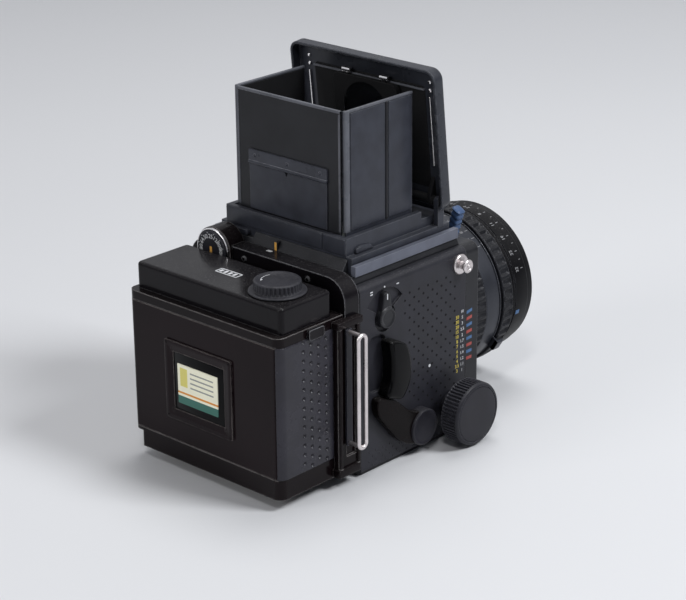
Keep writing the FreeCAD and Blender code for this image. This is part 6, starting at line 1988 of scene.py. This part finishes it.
    def dress(self) -> None:
        """Build and place every piece of the film back."""
        Piece("back_side_panel", "film_back", "satin_black", PANEL_COAT).build(self.side_panel())
        Piece("slide_guide_trim", "film_back", "satin_black", BACK_GLOSS).build(self.guide_trim())
        Piece("memo_frame", "door", "plastic_black", BROWN_GLOSS, ("memo_holder",)).build(self.memo_frame())
        Piece("memo_plate", "door", "plastic_black", GLOSS_PLASTIC).build(self.memo_plate())
        Piece("memo_card", "door", "card", CARD, ("film_card",)).build(self.memo_card())
        Piece("wind_knob_ribbed", "wind", "plastic_black", SIDE_COAT, ("wind_knob",)).build(self.wind_knob())
        Piece("wind_arrow", "wind", "card", WHITE_INK).build(self.wind_arrow())
        Piece("speed_dial_milled", "speed_dial", "plastic_black", MATT_PLASTIC,
              ("film_speed_dial",)).build(self.speed_dial())
        Piece("speed_dial_figures", "speed_dial", "card", WHITE_INK).build(self.dial_figures())
        Piece("speed_dial_ring", "film_back", "bright", BRIGHT).build(self.dial_ring())
        Piece("housing_marks", "film_back", "card", WHITE_INK).build(self.housing_marks())
        Piece("speed_dial_mark", "speed_dial", "card", ORANGE_INK).build(self.dial_mark())


# Studio and build

@dataclass(frozen=True)
class Studio:
    """Pale floor, soft lamps and the camera at the photograph's viewing angle."""

    camera_mm: tuple[float, float, float] = (-717.13, 767.33, 477.77)
    azimuth: float = 222.953
    elevation: float = 21.213
    roll: float = -0.533
    focal_px: float = 2145.58
    width_px: int = 686
    sensor_mm: float = 36.0
    target_m: tuple[float, float, float] = (0.0, 0.0, 0.09)
    floor_half: float = 4000.0
    floor_flat: float = 2600.0
    floor_low: float = 0.05
    floor_rows: int = 33

    def floor(self) -> None:
        """Pale floor that rises far away, by past^2 / (2 * flat) where past is how far past the flat."""
        n = self.floor_rows
        line = np.linspace(-self.floor_half, self.floor_half, n)
        u, v = np.meshgrid(line, line, indexing="ij")
        past = np.maximum(np.hypot(u, v) - self.floor_flat, 0)
        points = np.stack([u, v, past ** 2 / (2 * self.floor_flat) - self.floor_low], -1).reshape(-1, 3)
        i, j = np.meshgrid(np.arange(n - 1), np.arange(n - 1), indexing="ij")
        a = (i * n + j).ravel()
        faces = np.stack([a, a + n, a + n + 1, a + 1], -1).tolist()
        mesh = bpy.data.meshes.new("floor")
        mesh.from_pydata((points * MM).tolist(), [], faces)
        mesh.polygons.foreach_set("use_smooth", np.ones(len(mesh.polygons), bool))
        mesh.materials.append(PaleFloor("Pale floor").material())
        made = bpy.data.objects.new("floor", mesh)
        bpy.context.scene.collection.objects.link(made)

    def stand(self, name: str, data: bpy.types.ID, axes: Sequence[Array], place_m: Array) -> bpy.types.Object:
        """Put a lamp or a camera in the scene.

        Args:
            name: its name.
            data: its light or camera data.
            axes: its side, up and back as unit directions.
            place_m: its place, in metres.

        Returns:
            The object.
        """
        made = bpy.data.objects.new(name, data)
        made.matrix_world = Matrix([*np.stack([*axes, place_m], -1).tolist(), [0.0, 0.0, 0.0, 1.0]])
        bpy.context.scene.collection.objects.link(made)
        return made

    def lamp(self, name: str, place_m: Array, size: float, watts: float, colour: Colour) -> None:
        """A square soft lamp that looks at the target.

        Args:
            name: its name.
            place_m: where it hangs, in metres.
            size: side of the square, in metres.
            watts: its power.
            colour: its colour.
        """
        light = bpy.data.lights.new(name, "AREA")
        light.shape, light.size, light.energy, light.color = "SQUARE", size, watts, colour
        back = unit(place_m - self.target_m)
        side = unit(np.cross((0, 0, 1), back))
        self.stand(name, light, (side, np.cross(back, side), back), place_m)

    def lights(self) -> None:
        """Even sky, brighter to camera, glass and glossy rays than to diffuse ones, and four lamps."""
        world = bpy.data.worlds.new("Studio")
        bpy.context.scene.world = world
        world.use_nodes = True
        w = Wiring(world.node_tree)
        w.tree.nodes.clear()
        path = w.node("ShaderNodeLightPath")
        seen = w.sum("MAXIMUM", path.outputs["Is Camera Ray"], path.outputs["Is Transmission Ray"])
        seen = w.sum("MAXIMUM", seen, path.outputs["Is Glossy Ray"])
        colour = w.blend(seen, (0.12, 0.125, 0.14), (0.62, 0.63, 0.66))
        w.close("ShaderNodeBackground", {"Color": colour, "Strength": 1.0}, "ShaderNodeOutputWorld")
        for name, place_m, size, watts, tint in (
                ("lamp_side", (-1.35, -0.5, 1.65), 0.6, 29.0, (0.96, 0.98, 1.0)),
                ("lamp_top", (0.25, -0.5, 1.9), 0.9, 12.0, (1.0, 1.0, 1.0)),
                ("lamp_rear", (0.5, 1.9, 0.9), 0.8, 10.0, (1.0, 0.99, 0.97)),
                ("lamp_edge", (-0.9, 1.1, 1.9), 0.3, 8.0, (1.0, 1.0, 1.0))):
            self.lamp(name, np.array(place_m), size, watts, tint)

    def camera(self) -> None:
        """Camera from the place, angles and focal length of the photograph."""
        a, e = math.radians(self.azimuth), math.radians(self.elevation)
        back = np.array([math.sin(a) * math.cos(e), -math.cos(a) * math.cos(e), math.sin(e)])
        right = unit(np.cross(-back, (0, 0, 1)))
        up = np.cross(right, -back)
        side, top = swung(right, up, -self.roll)
        lens = bpy.data.cameras.new("Camera")
        lens.sensor_width = self.sensor_mm
        lens.lens = self.sensor_mm * self.focal_px / self.width_px
        lens.clip_start, lens.clip_end = 0.01, 50
        place_m = np.array(self.camera_mm) * MM
        bpy.context.scene.camera = self.stand("Camera", lens, (side, top, back), place_m)


def dress_nodes(nodes: dict[str, bpy.types.Object]) -> None:
    """Give each carried-over node its finish.

    Args:
        nodes: the loaded nodes by name.
    """
    for name, finish in NODE_FINISHES.items():
        material = finish.material()
        for holder in nodes[name].material_slots:
            holder.material = material
        LOG.info("node %s: finish %s", name, finish.name)


def main() -> None:
    """Build the camera's pieces in order, then the studio."""
    logging.basicConfig(level=logging.INFO, format="%(name)s: %(message)s")
    dress_nodes(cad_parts)
    for part in (FinderHood(), FinderLid(), FinderDeck(), SideControls(), FocusKnobs(), Lens(), FilmBack()):
        part.dress()
    studio = Studio()
    studio.floor()
    studio.lights()
    studio.camera()
    bpy.context.scene.view_settings.view_transform = "Standard"


if __name__ == "__main__":
    main()
